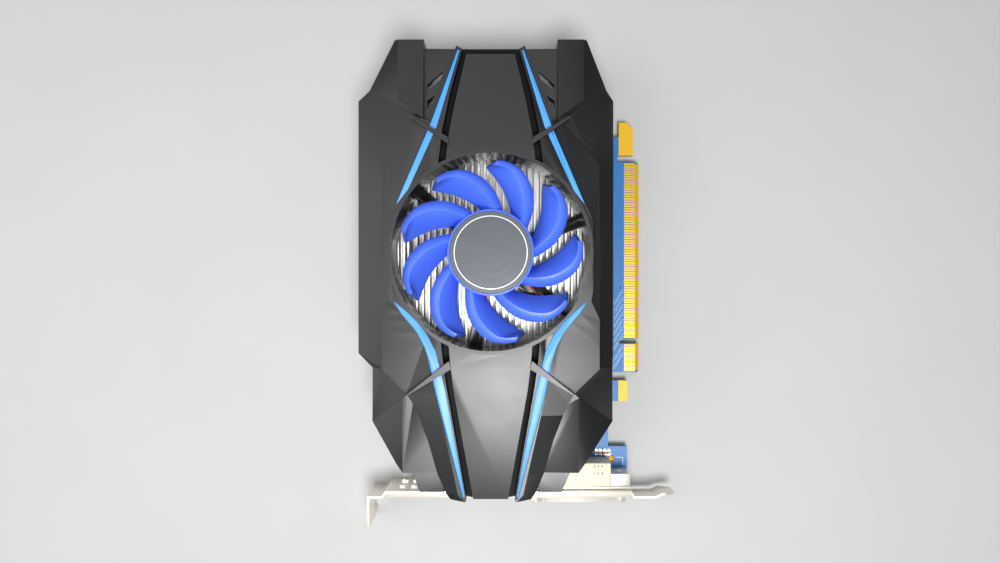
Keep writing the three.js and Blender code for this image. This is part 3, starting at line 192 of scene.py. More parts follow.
def makeSolderMask():
    # blue mask over laminate: copper runs under it show as slightly raised, paler lines
    look = {"cellMm": 3.4, "lineFrom": 0.055, "lineTo": 0.075, "repeat": 0.16, "raisedMm": 0.03}
    material = makeSurface("blueSolderMask", "07589c", "0b62a8", 0.42, 0.05, grainMm=0.8, grainDepth=0.004,
                           fixed={"IOR": 1.52})
    tree = material.node_tree
    shader = tree.nodes["Principled BSDF"]
    colour = shader.inputs["Base Color"].links[0].from_socket
    place = next(n for n in tree.nodes if n.type == "TEX_COORD")
    cells = addNode(tree, "ShaderNodeTexVoronoi", {"distance": "MANHATTAN", "feature": "F1"}, {
        "Vector": place.outputs["Object"], "Scale": 1000 / look["cellMm"], "Randomness": 0.9})
    steps = addNode(tree, "ShaderNodeMath", {"operation": "PINGPONG"}, {
        0: cells.outputs["Distance"], 1: look["repeat"]})
    lines = addNode(tree, "ShaderNodeMapRange", inputs={
        "Value": steps.outputs[0], "From Min": look["lineFrom"], "From Max": look["lineTo"],
        "To Min": 0.0, "To Max": 1.0})
    mixed = addNode(tree, "ShaderNodeMix", {"data_type": "RGBA"}, {
        0: lines.outputs["Result"], 6: colour, 7: tint("1f74b8")})
    tree.links.new(mixed.outputs[2], shader.inputs["Base Color"])
    bump = next(n for n in tree.nodes if n.type == "BUMP")
    raised = addNode(tree, "ShaderNodeBump", inputs={
        "Height": lines.outputs["Result"], "Distance": look["raisedMm"] * mm,
        "Normal": bump.outputs["Normal"]})
    tree.links.new(raised.outputs["Normal"], shader.inputs["Normal"])
    return material


def makeLabelFoil():
    # printed foil with a turned look: fine rings around the fan axis
    look = {"ringMm": 0.5, "wavesPerUnit": 20, "depthMm": 0.006}
    material = makeSurface("turnedFoil", "4a4e53", "565a60", 0.38, 0.06, 0.55, 0.4, 0.004, 20)
    tree = material.node_tree
    shader = tree.nodes["Principled BSDF"]
    place = next(n for n in tree.nodes if n.type == "TEX_COORD")
    centred = addNode(tree, "ShaderNodeMapping", inputs={
        "Vector": place.outputs["Object"], "Location": (-fanAxis[0], -fanAxis[1], 0)})
    rings = addNode(tree, "ShaderNodeTexWave", {"wave_type": "RINGS", "rings_direction": "Z"}, {
        "Vector": centred.outputs["Vector"], "Scale": 1000 / (look["ringMm"] * look["wavesPerUnit"]),
        "Distortion": 0.6, "Detail": 3.0})
    bump = next(n for n in tree.nodes if n.type == "BUMP")
    turned = addNode(tree, "ShaderNodeBump", inputs={
        "Height": rings.outputs["Fac"], "Distance": look["depthMm"] * mm, "Normal": bump.outputs["Normal"]})
    tree.links.new(turned.outputs["Normal"], shader.inputs["Normal"])
    return material


solderMask = makeSolderMask()
labelFoil = makeLabelFoil()
print("materials made")


# building helpers; sizes and places are in millimetres
def finishPiece(name, bm, material, body, nodes=(), smooth=35, recalc=True):
    if recalc:
        bmesh.ops.recalc_face_normals(bm, faces=bm.faces)
    mesh = bpy.data.meshes.new(name)
    bm.to_mesh(mesh)
    bm.free()
    for each in (material if isinstance(material, (list, tuple)) else [material]):
        mesh.materials.append(each)
    mesh.polygons.foreach_set("use_smooth", [True] * len(mesh.polygons))
    mesh.set_sharp_from_angle(angle=math.radians(smooth))
    piece = bpy.data.objects.new(name, mesh)
    bpy.context.scene.collection.objects.link(piece)
    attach(piece, body)
    if nodes:
        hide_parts(*nodes)
    return piece


def cadCopy(node):  # a merged copy of a CAD node's mesh, with its flat faces made whole
    bm = bmesh.new()
    bm.from_mesh(frame["nodes"][node].data)
    bmesh.ops.remove_doubles(bm, verts=bm.verts, dist=weldGap * mm)
    bmesh.ops.dissolve_degenerate(bm, edges=bm.edges, dist=weldGap * mm)
    bmesh.ops.dissolve_limit(bm, angle_limit=math.radians(flatAngle), verts=bm.verts, edges=bm.edges)
    return bm


def softenEdges(bm, width, angle=25, segments=2):  # rounds every edge sharper than the angle
    shortest = 1.2 * width * mm
    sharp = [edge for edge in bm.edges if len(edge.link_faces) == 2 and edge.calc_length() >= shortest
             and edge.calc_face_angle(0) > math.radians(angle)]
    bmesh.ops.bevel(bm, geom=sharp, offset=width * mm, offset_type="OFFSET", segments=segments, profile=0.5,
                    affect="EDGES", material=-1, clamp_overlap=True, loop_slide=True)


def addBox(bm, low, high):
    size = high - low
    middle = (low + high) / 2
    made = bmesh.ops.create_cube(bm, size=1.0)
    bmesh.ops.scale(bm, verts=made["verts"], vec=size)
    bmesh.ops.translate(bm, verts=made["verts"], vec=middle)
    return made["verts"]


def roundedBox(bm, low, high, edge=0.1, segments=2):
    verts = addBox(bm, low, high)
    edges = {e for v in verts for e in v.link_edges}
    bmesh.ops.bevel(bm, geom=list(edges), offset=edge * mm, offset_type="OFFSET", segments=segments,
                    profile=0.5, affect="EDGES", material=-1)


def spinProfile(bm, profile, x, y, steps=48):  # profile of (radius, z), open at the axis or closed on itself
    verts = [bm.verts.new(at(x + r, y, z)) for r, z in profile]
    edges = [bm.edges.new((a, b)) for a, b in zip(verts, verts[1:])]
    bmesh.ops.spin(bm, geom=verts + edges, cent=at(x, y), axis=(0, 0, 1), angle=2 * math.pi,
                   steps=steps, use_merge=True)
    bmesh.ops.remove_doubles(bm, verts=bm.verts, dist=weldGap * mm / 2)


def addBlock(bm, x0, x1, y0, y1, z0, z1):  # a plain box between design limits
    return addBox(bm, at(x0, y0, z0), at(x1, y1, z1))


def addSlab(bm, outline, z0, z1):  # an outline in plan, given a thickness
    low = [bm.verts.new(at(x, y, z0)) for x, y in outline]
    high = [bm.verts.new(at(x, y, z1)) for x, y in outline]
    bm.faces.new(low)
    bm.faces.new(high)
    for i in range(len(outline)):
        j = (i + 1) % len(outline)
        bm.faces.new((low[i], low[j], high[j], high[i]))


def addRun(bm, points, width, z0, z1):  # a copper run along a path in plan
    left, right = [], []
    for i, (x, y) in enumerate(points):
        a, b = points[max(i - 1, 0)], points[min(i + 1, len(points) - 1)]
        length = math.hypot(b[0] - a[0], b[1] - a[1])
        nx, ny = -(b[1] - a[1]) / length * width / 2, (b[0] - a[0]) / length * width / 2
        left.append((x + nx, y + ny))
        right.insert(0, (x - nx, y - ny))
    addSlab(bm, left + right, z0, z1)


def addDisc(bm, x, y, radius, z0, z1, sides=10):
    turns = [2 * math.pi * i / sides for i in range(sides)]
    addSlab(bm, [(x + radius * math.cos(a), y + radius * math.sin(a)) for a in turns], z0, z1)


def addTube(bm, path, radius, sides=8):  # a round section carried along a list of points
    normal = None
    rings = []
    for i, point in enumerate(path):
        ahead = (path[min(i + 1, len(path) - 1)] - path[max(i - 1, 0)]).normalized()
        if normal is None:
            normal = ahead.orthogonal().normalized()
        normal = (normal - ahead * normal.dot(ahead)).normalized()
        side = ahead.cross(normal)
        rings.append([bm.verts.new(point + (normal * math.cos(2 * math.pi * k / sides)
                                            + side * math.sin(2 * math.pi * k / sides)) * radius * mm)
                      for k in range(sides)])
    for a, b in zip(rings, rings[1:]):
        for k in range(sides):
            bm.faces.new((a[k], a[(k + 1) % sides], b[(k + 1) % sides], b[k]))
    bm.faces.new(rings[0])
    bm.faces.new(rings[-1])


# cover and stripes; openingRadius, grooveReach and bandLine are measured from the fan axis
cover = {"edge": 0.25, "softenFrom": 24, "creaseFrom": 11, "openingRadius": 35.7, "grooveTop": 30.6,
         "grooveFloor": 29.0, "grooveReach": 18.8, "stripeEdge": 0.15, "wallPlay": 0.05, "rimWidth": 0.45,
         "rimFrom": 30.0, "wallSlope": 0.5, "rimSlope": 0.97, "sideSlope": 0.3,
         "bandLine": ((-48.0, 20.3, 31.0), (-51.3, 19.2, 30.4), (-59.1, 17.5, 26.3), (-68.4, 15.4, 22.7),
                      (-80.1, 12.8, 19.4), (-92.0, 8.0, 14.0))}


# the smooth band beside each near stripe, between its inner and outer edge
def inBand(x, y):
    for (topY, topIn, topOut), (lowY, lowIn, lowOut) in zip(cover["bandLine"], cover["bandLine"][1:]):
        if lowY <= y <= topY:
            t = (topY - y) / (topY - lowY)
            return topIn + t * (lowIn - topIn) < abs(x) < topOut + t * (lowOut - topOut)
    return False


def makeCover():
    bm = cadCopy("fan_cover")
    softenEdges(bm, cover["edge"], cover["softenFrom"], 3)
    axis = at(0, 0)
    for face in bm.faces:
        middle = face.calc_center_median()
        x, y, height = (middle - axis) / mm
        reach = math.hypot(x, y)
        slope = abs(face.normal.z)  # 0 on a wall, 1 on a flat
        opening = reach < cover["openingRadius"] + cover["wallPlay"] and slope < cover["wallSlope"]
        rim = (reach < cover["openingRadius"] + cover["rimWidth"] and height > cover["rimFrom"]
               and face.normal.z < cover["rimSlope"])
        # groove floors and low walls outside the bands take the near-black material as painted shade
        groove = (abs(x) < cover["grooveReach"] and reach > cover["openingRadius"] and not inBand(x, y)
                  and (height < cover["grooveFloor"]
                       or (height < cover["grooveTop"] and slope < cover["sideSlope"])))
        face.material_index = 1 if opening else 2 if rim or groove else 0
    finishPiece("coverShell", bm, [coverAbs, polishedAbs, grooveShadeAbs], "card", ["fan_cover"],
                cover["creaseFrom"], False)
    for node in ("stripe_far_left", "stripe_near_left", "stripe_far_right", "stripe_near_right"):
        words = node.split("_")
        bm = cadCopy(node)
        softenEdges(bm, cover["stripeEdge"])
        name = "stripe" + words[1].capitalize() + words[2].capitalize()
        finishPiece(name, bm, stripeBlue, "card", [node], 40, False)


makeCover()
print("cover made")


# rotor: the blades, the hub and its label
rotor = {"hubRadius": 16.0, "topZ": 28.6, "bottomZ": 18.2, "wall": 1.1, "recess": 0.35, "rim": 0.75,
         "bladeTopZ": 27.6, "bladeBottomZ": 18.9, "bladeThick": 1.25, "blades": 9, "firstRoot": 80.0,
         "noseShare": 0.3, "noseDrop": 0.32, "fallPower": 1.2, "along": 18, "across": 10, "edgeRound": 0.5,
         "edgeFrom": 50, "capThick": 1.6, "topRound": 0.5, "rimRound": 0.08, "steps": 96}
hubLabel = {"play": 0.15, "glue": 0.02, "top": 0.32, "edge": 0.1, "ringRadius": 13.2, "ringWidth": 0.3,
            "inkUnder": 0.02, "inkOver": 0.03}
# radius, then the angle of the leading and trailing edge from the leading root
bladeEdges = [(15.3, -2.5, 14.5), (17, 0, 18.5), (20, 5, 27), (23, 9.5, 33.5), (26, 15, 39.5),
              (28.5, 20.5, 44.5), (30.5, 25.5, 48), (32, 31, 50.3), (32.9, 37.5, 51.4), (33.4, 45.5, 52)]


def edgeAt(t):
    place = t * (len(bladeEdges) - 1)
    i = min(int(place), len(bladeEdges) - 2)
    a, b = bladeEdges[i], bladeEdges[i + 1]
    return [p + (q - p) * (place - i) for p, q in zip(a, b)]


def makeBlades():
    bm = bmesh.new()
    drop = rotor["bladeTopZ"] - rotor["bladeBottomZ"] - rotor["bladeThick"]
    nose = rotor["noseShare"]
    for k in range(rotor["blades"]):
        made = bmesh.ops.create_grid(bm, x_segments=rotor["along"], y_segments=rotor["across"], size=1.0)
        for vert in made["verts"]:
            t, s = (vert.co.x + 1) / 2, (vert.co.y + 1) / 2
            radius, lead, trail = edgeAt(t)
            angle = rotor["firstRoot"] + k * 360 / rotor["blades"] + lead + (trail - lead) * s
            # a rounded nose at the leading edge, then a fall that steepens to where the air leaves
            if s < nose:
                fall = rotor["noseDrop"] * (1 - t ** 2) * ((nose - s) / nose) ** 2
            else:
                fall = ((s - nose) / (1 - nose)) ** rotor["fallPower"]
            vert.co = at(*polar(radius, angle, rotor["bladeBottomZ"] + drop * (1 - fall)))
    bmesh.ops.recalc_face_normals(bm, faces=bm.faces)
    if bm.faces[:][0].normal.z < 0:
        bmesh.ops.reverse_faces(bm, faces=bm.faces)
    bmesh.ops.solidify(bm, geom=bm.faces[:], thickness=-rotor["bladeThick"] * mm)
    sharp = [e for e in bm.edges
             if len(e.link_faces) == 2 and e.calc_face_angle(0) > math.radians(rotor["edgeFrom"])]
    bmesh.ops.bevel(bm, geom=sharp, offset=rotor["edgeRound"] * mm, offset_type="OFFSET", segments=3,
                    profile=0.5, affect="EDGES", material=-1, clamp_overlap=True)
    finishPiece("rotorBlades", bm, rotorBlue, "fan", ["fan_rotor"], 60)


def makeHub():
    bm = bmesh.new()
    outer, top, low = rotor["hubRadius"], rotor["topZ"], rotor["bottomZ"]
    inner, floor, soft = outer - rotor["rim"], top - rotor["recess"], rotor["rimRound"]
    bore, ceiling, turn = outer - rotor["wall"], top - rotor["capThick"], rotor["topRound"]
    profile = [(0, floor), (inner, floor), (inner, top - soft), (inner + soft, top), (outer - turn, top),
               (outer - turn * 0.36, top - turn * 0.24), (outer, top - turn), (outer, low), (bore, low),
               (bore, ceiling), (0, ceiling)]
    spinProfile(bm, profile, 0, 0, rotor["steps"])
    finishPiece("rotorHub", bm, rotorBlue, "fan", [], 30)

    bm = bmesh.new()
    edge, under, over = inner - hubLabel["play"], floor + hubLabel["glue"], floor + hubLabel["top"]
    cut = hubLabel["edge"]
    spinProfile(bm, [(0, over), (edge - cut, over), (edge, over - cut), (edge, under), (0, under)], 0, 0,
                rotor["steps"])
    finishPiece("hubLabel", bm, labelFoil, "fan", ["hub_label"], 30)

    bm = bmesh.new()
    near, far = hubLabel["ringRadius"], hubLabel["ringRadius"] + hubLabel["ringWidth"]
    low, high = over - hubLabel["inkUnder"], over + hubLabel["inkOver"]
    spinProfile(bm, [(near, low), (far, low), (far, high), (near, high), (near, low)], 0, 0, rotor["steps"])
    finishPiece("labelRing", bm, silverInk, "fan", [], 30)


makeBlades()
makeHub()
print("rotor made")


# pieces that keep the CAD shape, with their edges softened
# node: name, material, slot, width of the rounding in mm
softened = {
    "fan_frame": ("fanFrame", polishedAbs, "black_plastic", 0.2),
    "mounting_bracket": ("slotBracket", nickelSheet, "nickel", 0.12),
    "wide_socket_shell": ("wideSocketShell", whitePlate, "nickel", 0.25),
    "narrow_socket_shell": ("narrowSocketShell", whitePlate, "nickel", 0.08),
    "jack_nut_1": ("jackNutLeft", nickelSheet, "nickel", 0.2),
    "jack_nut_2": ("jackNutRight", nickelSheet, "nickel", 0.2),
    "heatsink": ("finBlock", finAluminium, "aluminium", 0.08),
    "wide_socket_body": ("wideSocketBody", creamNylon, "cream", 0.15),
    "narrow_socket_body": ("narrowSocketBody", blackEpoxy, "chip", 0.1),
    "fan_socket": ("leadSocket", creamNylon, "cream", 0.12),
    "fan_plug": ("leadPlug", blackPvc, "wire", 0.12),
    "copper_slug": ("copperSlug", copperBar, "copper", 0.15),
    "gpu_substrate": ("chipSubstrate", greenMask, "green_laminate", 0.05),
    "gpu_die": ("chipDie", siliconDie, "silicon", 0.04),
    "rotor_cup": ("rotorCup", zincSteel, "steel", 0.12),
    "magnet_ring": ("magnetRing", ferrite, "magnet", 0.15),
    "rotor_shaft": ("rotorShaft", zincSteel, "steel", 0.12),
    "motor_board": ("motorBoard", greenMask, "green_laminate", 0.05),
    "bearing_sleeve": ("bearingSleeve", bronze, "brass", 0.12),
    "stator_core": ("statorCore", zincSteel, "steel", 0.05),
    "stator_winding": ("statorWinding", enamelWire, "winding", 0.3),
}
for i in range(1, 5):
    softened["cooler_screw_%d" % i] = ("coolerScrew%d" % i, zincSteel, "steel", 0.22)
    softened["cover_screw_%d" % i] = ("coverScrew%d" % i, zincSteel, "steel", 0.22)
    softened["memory_chip_%d" % i] = ("memoryChip%d" % i, blackEpoxy, "chip", 0.08)
for i in range(1, 4):
    softened["fan_screw_%d" % i] = ("fanScrew%d" % i, zincSteel, "steel", 0.22)
turning = ("rotor_cup", "magnet_ring", "rotor_shaft")


def makeSoftened():
    for node, (name, material, slot, width) in softened.items():
        bm = cadCopy(node)
        softenEdges(bm, width)
        finishPiece(name, bm, material, "fan" if node in turning else "card", [node], 35, False)


makeSoftened()
print("softened pieces made")


# contacts, copper, ink and small parts on both faces of the circuit board
board = {"under": -1.6, "sunk": 0.01, "copper": 0.05, "contactX": (53.8, 58.2), "contactWidth": 0.7,
         "contactPitch": 1.0, "longRow": (-33.85, 37.8, 71), "shortRow": (-47.4, -35.75, 11), "edgeX": 59.7,
         "bevelFall": 0.49, "cornerCut": 0.8, "edgeFilm": 0.03, "edgeLap": 0.05, "padFilm": 0.04,
         "padLip": 0.03, "padLipFrom": 52.0,
         "hook": [(51.6, 40.5), (57.3, 40.5), (57.3, 51.4), (54.8, 53.9), (51.6, 53.9)],
         "tab": [(51.5, -59.2), (55.1, -59.2), (55.1, -50.8), (51.5, -50.8)], "seed": 11}
# a path starts at a contact: x, then how far y has moved; ranges are (from, to) for seeded draws
runs = {"startX": 53.9, "brightBelow": -13.0, "bright": ((53.0, 0), (50.4, -4.4), (48.6, -6.6), (46.9, -7.6)),
        "brightWidth": 0.2, "brightEnd": -49.5, "leaveOut": 3, "quiet": ((50.6, 0), (44.5, -6.1), (33, -6.1)),
        "quietWidth": 0.22, "underBend": 50.2, "underEnd": 47.5, "underLean": 0.11, "underFrom": -50,
        "bundles": 26, "bundleX": (-4, 34), "bundleY": (-78, 44), "bundleCount": (3, 8), "bundleStep": 0.55,
        "bundleLegs": ((3, 9), (2, 7), (3, 10)), "bundleWidth": 0.24, "keepX": (-8.6, 46.6),
        "keepY": (-90, 54.6), "underShare": 0.9}
vias = {"under": 150, "underX": (-8, 46), "underY": (-76, 54), "underRing": 0.36, "underHole": 0.16,
        "top": 40, "topX": (47.9, 52.6), "topY": (-44, 36), "topRing": 0.3, "topHole": 0.14, "film": 0.04}


def contactRows():
    for y0, y1, count in (board["longRow"], board["shortRow"]):
        first = (y0 + y1) / 2 - (count - 1) / 2 * board["contactPitch"]
        for i in range(count):
            yield first + i * board["contactPitch"]


def makeContacts():
    x0, x1 = board["contactX"]
    half, film, under, sunk = board["contactWidth"] / 2, board["copper"], board["under"], board["sunk"]
    bm = bmesh.new()
    for y in contactRows():
        addBlock(bm, x0, x1, y - half, y + half, -sunk, film)
        addBlock(bm, x0, x1, y - half, y + half, under - film, under + sunk)
    finishPiece("edgeContacts", bm, goldFlash, "card")
    bm = bmesh.new()
    for outline in (board["hook"], board["tab"]):
        lipped = [(x + (board["padLip"] if x > board["padLipFrom"] else 0), y) for x, y in outline]
        addSlab(bm, lipped, under - board["padFilm"], board["padFilm"])
    finishPiece("barePads", bm, goldPad, "card")
    # the bevelled edge, where the plating ends and the laminate shows
    bm = bmesh.new()
    edge, fall, lap = board["edgeX"] + board["edgeFilm"], board["bevelFall"], board["edgeLap"]
    cut = board["cornerCut"]
    profile = [(x1 - lap, 2 * sunk), (edge, -fall), (edge, under + fall), (x1 - lap, under - 2 * sunk)]
    for (y0, y1, count), nearCut, farCut in ((board["longRow"], 0, cut), (board["shortRow"], cut, 0)):
        ends = [[bm.verts.new(at(x, y, z)) for x, z in profile] for y in (y0 + nearCut, y1 - farCut)]
        bm.faces.new(ends[0])
        bm.faces.new(ends[1])
        for i in range(4):
            j = (i + 1) % 4
            bm.faces.new((ends[0][i], ends[0][j], ends[1][j], ends[1][i]))
    finishPiece("bevelledEdge", bm, bareEdge, "card")


def makeRuns():
    film, under, sunk = board["copper"] * 0.6, board["under"], board["sunk"]
    bright, quiet = bmesh.new(), bmesh.new()
    number = 0
    for y in contactRows():
        start = [(runs["startX"], y)]
        if y < runs["brightBelow"]:
            path = start + [(x, y + away) for x, away in runs["bright"]]
            number += 1
            if path[-1][1] > runs["brightEnd"] and number % runs["leaveOut"]:
                addRun(bright, path, runs["brightWidth"], -sunk, film)
        else:
            path = start + [(x, y + away) for x, away in runs["quiet"]]
            addRun(quiet, path, runs["quietWidth"], -sunk, film)
        bend = runs["underBend"]
        reach = runs["underEnd"] - (y - runs["underFrom"]) * runs["underLean"]
        addRun(quiet, start + [(bend, y), (reach, y - (bend - reach))], runs["quietWidth"], under - film,
               under + sunk)
    rng = random.Random(board["seed"])
    for _ in range(runs["bundles"]):
        x, y = rng.uniform(*runs["bundleX"]), rng.uniform(*runs["bundleY"])
        count = rng.randint(*runs["bundleCount"])
        first, bend, last = (rng.uniform(*limits) for limits in runs["bundleLegs"])
        upward = rng.random() < 0.5
        for i in range(count):
            o = i * runs["bundleStep"]
            if upward:
                path = [(x + o, y), (x + o, y + first), (x + o + bend, y + first + bend),
                        (x + o + bend, y + first + bend + last)]
            else:
                path = [(x, y + o), (x + first, y + o), (x + first + bend, y + o + bend),
                        (x + first + bend + last, y + o + bend)]
            if all(runs["keepX"][0] < px < runs["keepX"][1] and runs["keepY"][0] < py < runs["keepY"][1]
                   for px, py in path):
                if i or rng.random() < runs["underShare"]:
                    addRun(quiet, path, runs["bundleWidth"], under - film, under + sunk)
                else:
                    addRun(quiet, path, runs["bundleWidth"], -sunk, film)
    finishPiece("brightRuns", bright, maskedCopper, "card")
    finishPiece("quietRuns", quiet, quietCopper, "card")
    # the via holes are dark discs, painted as the shade inside each hole
    rings, holes = bmesh.new(), bmesh.new()
    film = vias["film"]
    for _ in range(vias["under"]):
        x, y = rng.uniform(*vias["underX"]), rng.uniform(*vias["underY"])
        addDisc(rings, x, y, vias["underRing"], under - film, under + sunk)
        addDisc(holes, x, y, vias["underHole"], under - film - sunk, under)
    for _ in range(vias["top"]):
        x, y = rng.uniform(*vias["topX"]), rng.uniform(*vias["topY"])
        addDisc(rings, x, y, vias["topRing"], -sunk, film + sunk / 2)
        addDisc(holes, x, y, vias["topHole"], 0, film + sunk * 1.5)
    finishPiece("viaRings", rings, quietCopper, "card")
    finishPiece("viaHoleShade", holes, resistorGlaze, "card")


# ink lines: x0, x1, y0, y1 of the corner mark, then middle x, middle y, width and height of the outlines
ink = {"corner": ((50.6, 53.4, -82.1, -81.9), (53.2, 53.4, -88.2, -81.9)), "half": 0.1, "film": 0.03,
       "outlines": ((14, -4, 33, 33), (2, -64, 21, 10), (30, -68, 12.4, 8))}


def makeSilkscreen():
    bm = bmesh.new()
    film, half, under, sunk = ink["film"], ink["half"], board["under"], board["sunk"]
    for x0, x1, y0, y1 in ink["corner"]:
        addBlock(bm, x0, x1, y0, y1, -sunk, film)
    for x, y, w, h in ink["outlines"]:
        left, right, near, far = x - w / 2, x + w / 2, y - h / 2, y + h / 2
        for x0, x1, y0, y1 in ((left, right, near - half, near + half),
                               (left, right, far - half, far + half),
                               (left - half, left + half, near, far),
                               (right - half, right + half, near, far)):
            addBlock(bm, x0, x1, y0, y1, -sunk, film)
            addBlock(bm, x0, x1, y0, y1, under - film, under + sunk)
    finishPiece("silkscreen", bm, whiteInk, "card")


# small parts: (length, width, height) in mm of a case, and how much of each end is tinned
smallParts = {"large": (2.0, 1.25, 0.85), "medium": (1.6, 0.8, 0.7), "small": (1.0, 0.5, 0.45),
              "endShare": 0.22, "waist": 0.96, "padOver": 0.3, "padShare": 0.8, "padFilm": 0.05, "dip": 0.02,
              "gridFirst": (4.6, -13.4), "gridStep": 2.7, "gridSide": 8, "gridShare": 0.72,
              "scattered": 46, "scatterX": (-7, 43), "scatterY": (24, 53)}
# kind, how many, first x, step in x, first y, step in y, case, how many to a turned one, under the board
smallRows = (("brown", 11, 44.6, 0, 34, -6.7, "small", 1, True),
             ("brown", 11, 46.2, 0, 34, -6.7, "small", 1, True),
             ("dark", 11, 45.6, 0, 31, -6.7, "small", 2, False),
             ("brown", 4, 42.5, 1.7, -79.9, 0, "large", 1, False),
             ("dark", 7, 22, 2.1, -78.5, 0, "small", 1, False),
             ("dark", 7, 20, 3.1, -77, 0, "medium", 1, True),
             ("brown", 7, -6.8, 0, -84, 3.6, "medium", 1, False),
             ("dark", 7, -5.8, 0, -34, 5.1, "medium", 3, False),
             ("brown", 9, -5, 2.6, -54.6, 0, "large", 1, False),
             ("brown", 9, -5, 2.6, -57, 0, "large", 1, True),
             ("dark", 9, -5, 2.6, -44, 0, "small", 0, True))


def addSmallPart(bodies, ends, x, y, size, turned, under):
    length, width, height = smallParts[size]
    end = length * smallParts["endShare"]
    face = board["under"] if under else 0
    sign = -1 if under else 1
    z0, z1 = sorted((face, face + sign * height))

    def place(bm, u0, u1, v, z0, z1):
        if turned:
            addBlock(bm, x - v, x + v, y + u0, y + u1, z0, z1)
        else:
            addBlock(bm, x + u0, x + u1, y - v, y + v, z0, z1)

    bodyTop = z1 if under else z1 - smallParts["dip"]
    place(bodies, -length / 2 + end, length / 2 - end, width / 2 * smallParts["waist"], z0, bodyTop)
    place(ends, -length / 2, -length / 2 + end, width / 2, z0, z1)
    place(ends, length / 2 - end, length / 2, width / 2, z0, z1)
    low, high = sorted((face - sign * board["sunk"], face + sign * smallParts["padFilm"]))
    reach = length / 2 + smallParts["padOver"]
    place(ends, -reach, reach, width / 2 * smallParts["padShare"], low, high)


def makeSmallParts():
    rng = random.Random(board["seed"] + 1)
    brown, dark, ends = bmesh.new(), bmesh.new(), bmesh.new()
    x, y = smallParts["gridFirst"]
    step, side = smallParts["gridStep"], smallParts["gridSide"]
    for i in range(side):  # under the processor
        for j in range(side):
            if rng.random() < smallParts["gridShare"]:
                addSmallPart(brown, ends, x + step * i, y + step * j, "medium" if (i + j) % 3 else "large",
                             rng.random() < 0.5, True)
    for kind, count, x, stepX, y, stepY, size, every, under in smallRows:
        for i in range(count):
            turned = every > 0 and i % every == 0
            addSmallPart(brown if kind == "brown" else dark, ends, x + stepX * i, y + stepY * i, size, turned,
                         under)
    for _ in range(smallParts["scattered"]):
        addSmallPart(brown if rng.random() < 0.5 else dark, ends, rng.uniform(*smallParts["scatterX"]),
                     rng.uniform(*smallParts["scatterY"]), "small", rng.random() < 0.5, True)
    finishPiece("ceramicBodies", brown, ceramicBody, "card")
    finishPiece("resistorBodies", dark, resistorGlaze, "card")
    finishPiece("tinnedEnds", ends, solderTin, "card")


# posts: x, y and radius of a joint; header: first x, y, step and how many; profile: shares of the radius
joints = {"wideRows": (-84.6, -86.5, -88.4), "wideFirst": 26.0, "widePitch": 1.9, "wideCount": 8,
          "rowRadius": 0.62,
          "posts": [(17.6, -87.2, 1.3), (50.8, -87.2, 1.3), (-5.2, -87.6, 0.9), (8.4, -87.6, 0.9)],
          "cans": [(17, -62), (17, -71), (42, -67)], "canLegs": (-1.25, 1.25), "canRadius": 0.85,
          "header": (26.25, -68, 2.5, 4), "headerRadius": 0.8,
          "profile": ((0, 1.35), (0.3, 1.25), (0.42, 0.7), (0.7, 0.28))}
rivet = {"x": 48.7, "y": -82.6,
         "collar": [(0, 0.62), (0.4, 0.6), (0.55, 0.42), (0.7, 0.32), (1.15, 0.3), (1.32, 0.16), (1.32, 0)],
         "centre": [(0, 0.68), (0.34, 0.66), (0.5, 0.5), (0.5, 0.3)]}


def makeJoints():
    bm = bmesh.new()
    under = board["under"]
    places = [(joints["wideFirst"] + i * joints["widePitch"], y, joints["rowRadius"])
              for y in joints["wideRows"] for i in range(joints["wideCount"])]
    places += joints["posts"]
    x, y, step, count = joints["header"]
    places += [(x + i * step, y, joints["headerRadius"]) for i in range(count)]
    places += [(x, y + leg, joints["canRadius"]) for x, y in joints["cans"] for leg in joints["canLegs"]]
    for x, y, r in places:
        profile = [(r * across, under - r * down) for across, down in joints["profile"]]
        spinProfile(bm, profile + [(r, under + board["sunk"])], x, y, 10)
    finishPiece("solderJoints", bm, solderTin, "card")
    # plated hole with its rivet, beside the wide socket
    bm = bmesh.new()
    spinProfile(bm, rivet["collar"], rivet["x"], rivet["y"], 24)
    finishPiece("platedRivet", bm, bronze, "card")
    bm = bmesh.new()
    spinProfile(bm, rivet["centre"], rivet["x"], rivet["y"], 16)
    finishPiece("rivetCentre", bm, goldFlash, "card")


makeContacts()
makeRuns()
makeSilkscreen()
makeSmallParts()
makeJoints()
print("board details made")


# power parts and chips
power = {"capacitors": [(17, -62), (17, -71), (42, -67)], "canRadius": 3.1, "canTop": 8.4, "canDish": 0.12,
         "footHalf": 3.2, "footTop": 1.3, "footCut": 1.1, "footLow": 0.12, "footRound": 0.12,
         "markInset": 0.85, "markFrom": 100, "markTurn": 160, "markSteps": 14, "markThick": 0.03,
         "chokes": [(-2, -64), (8, -64)], "chokeHalf": 3.7, "chokeLow": 0.15, "chokeTop": 4.7,
         "chokeRound": 0.45, "terminalHalf": 1.6, "terminalTop": 2.2, "terminalIn": 0.2, "terminalOut": 0.12,
         "terminalRound": 0.05, "film": 0.02,
         "switches": [(-2, -48), (8, -48)], "switchTop": 1.1, "bios": (-1, 42), "biosTop": 1.8}
# a can's outline: how far in from its radius, then how far up from its top or from its foot
canRim = ((0.75, -0.12), (0.6, 0), (0.3, 0), (0.08, -0.08), (0, -0.3))
canCrimp = ((0, 1.25), (0.28, 0.95), (0.28, 0.75), (0, 0.45), (0, 0.02))


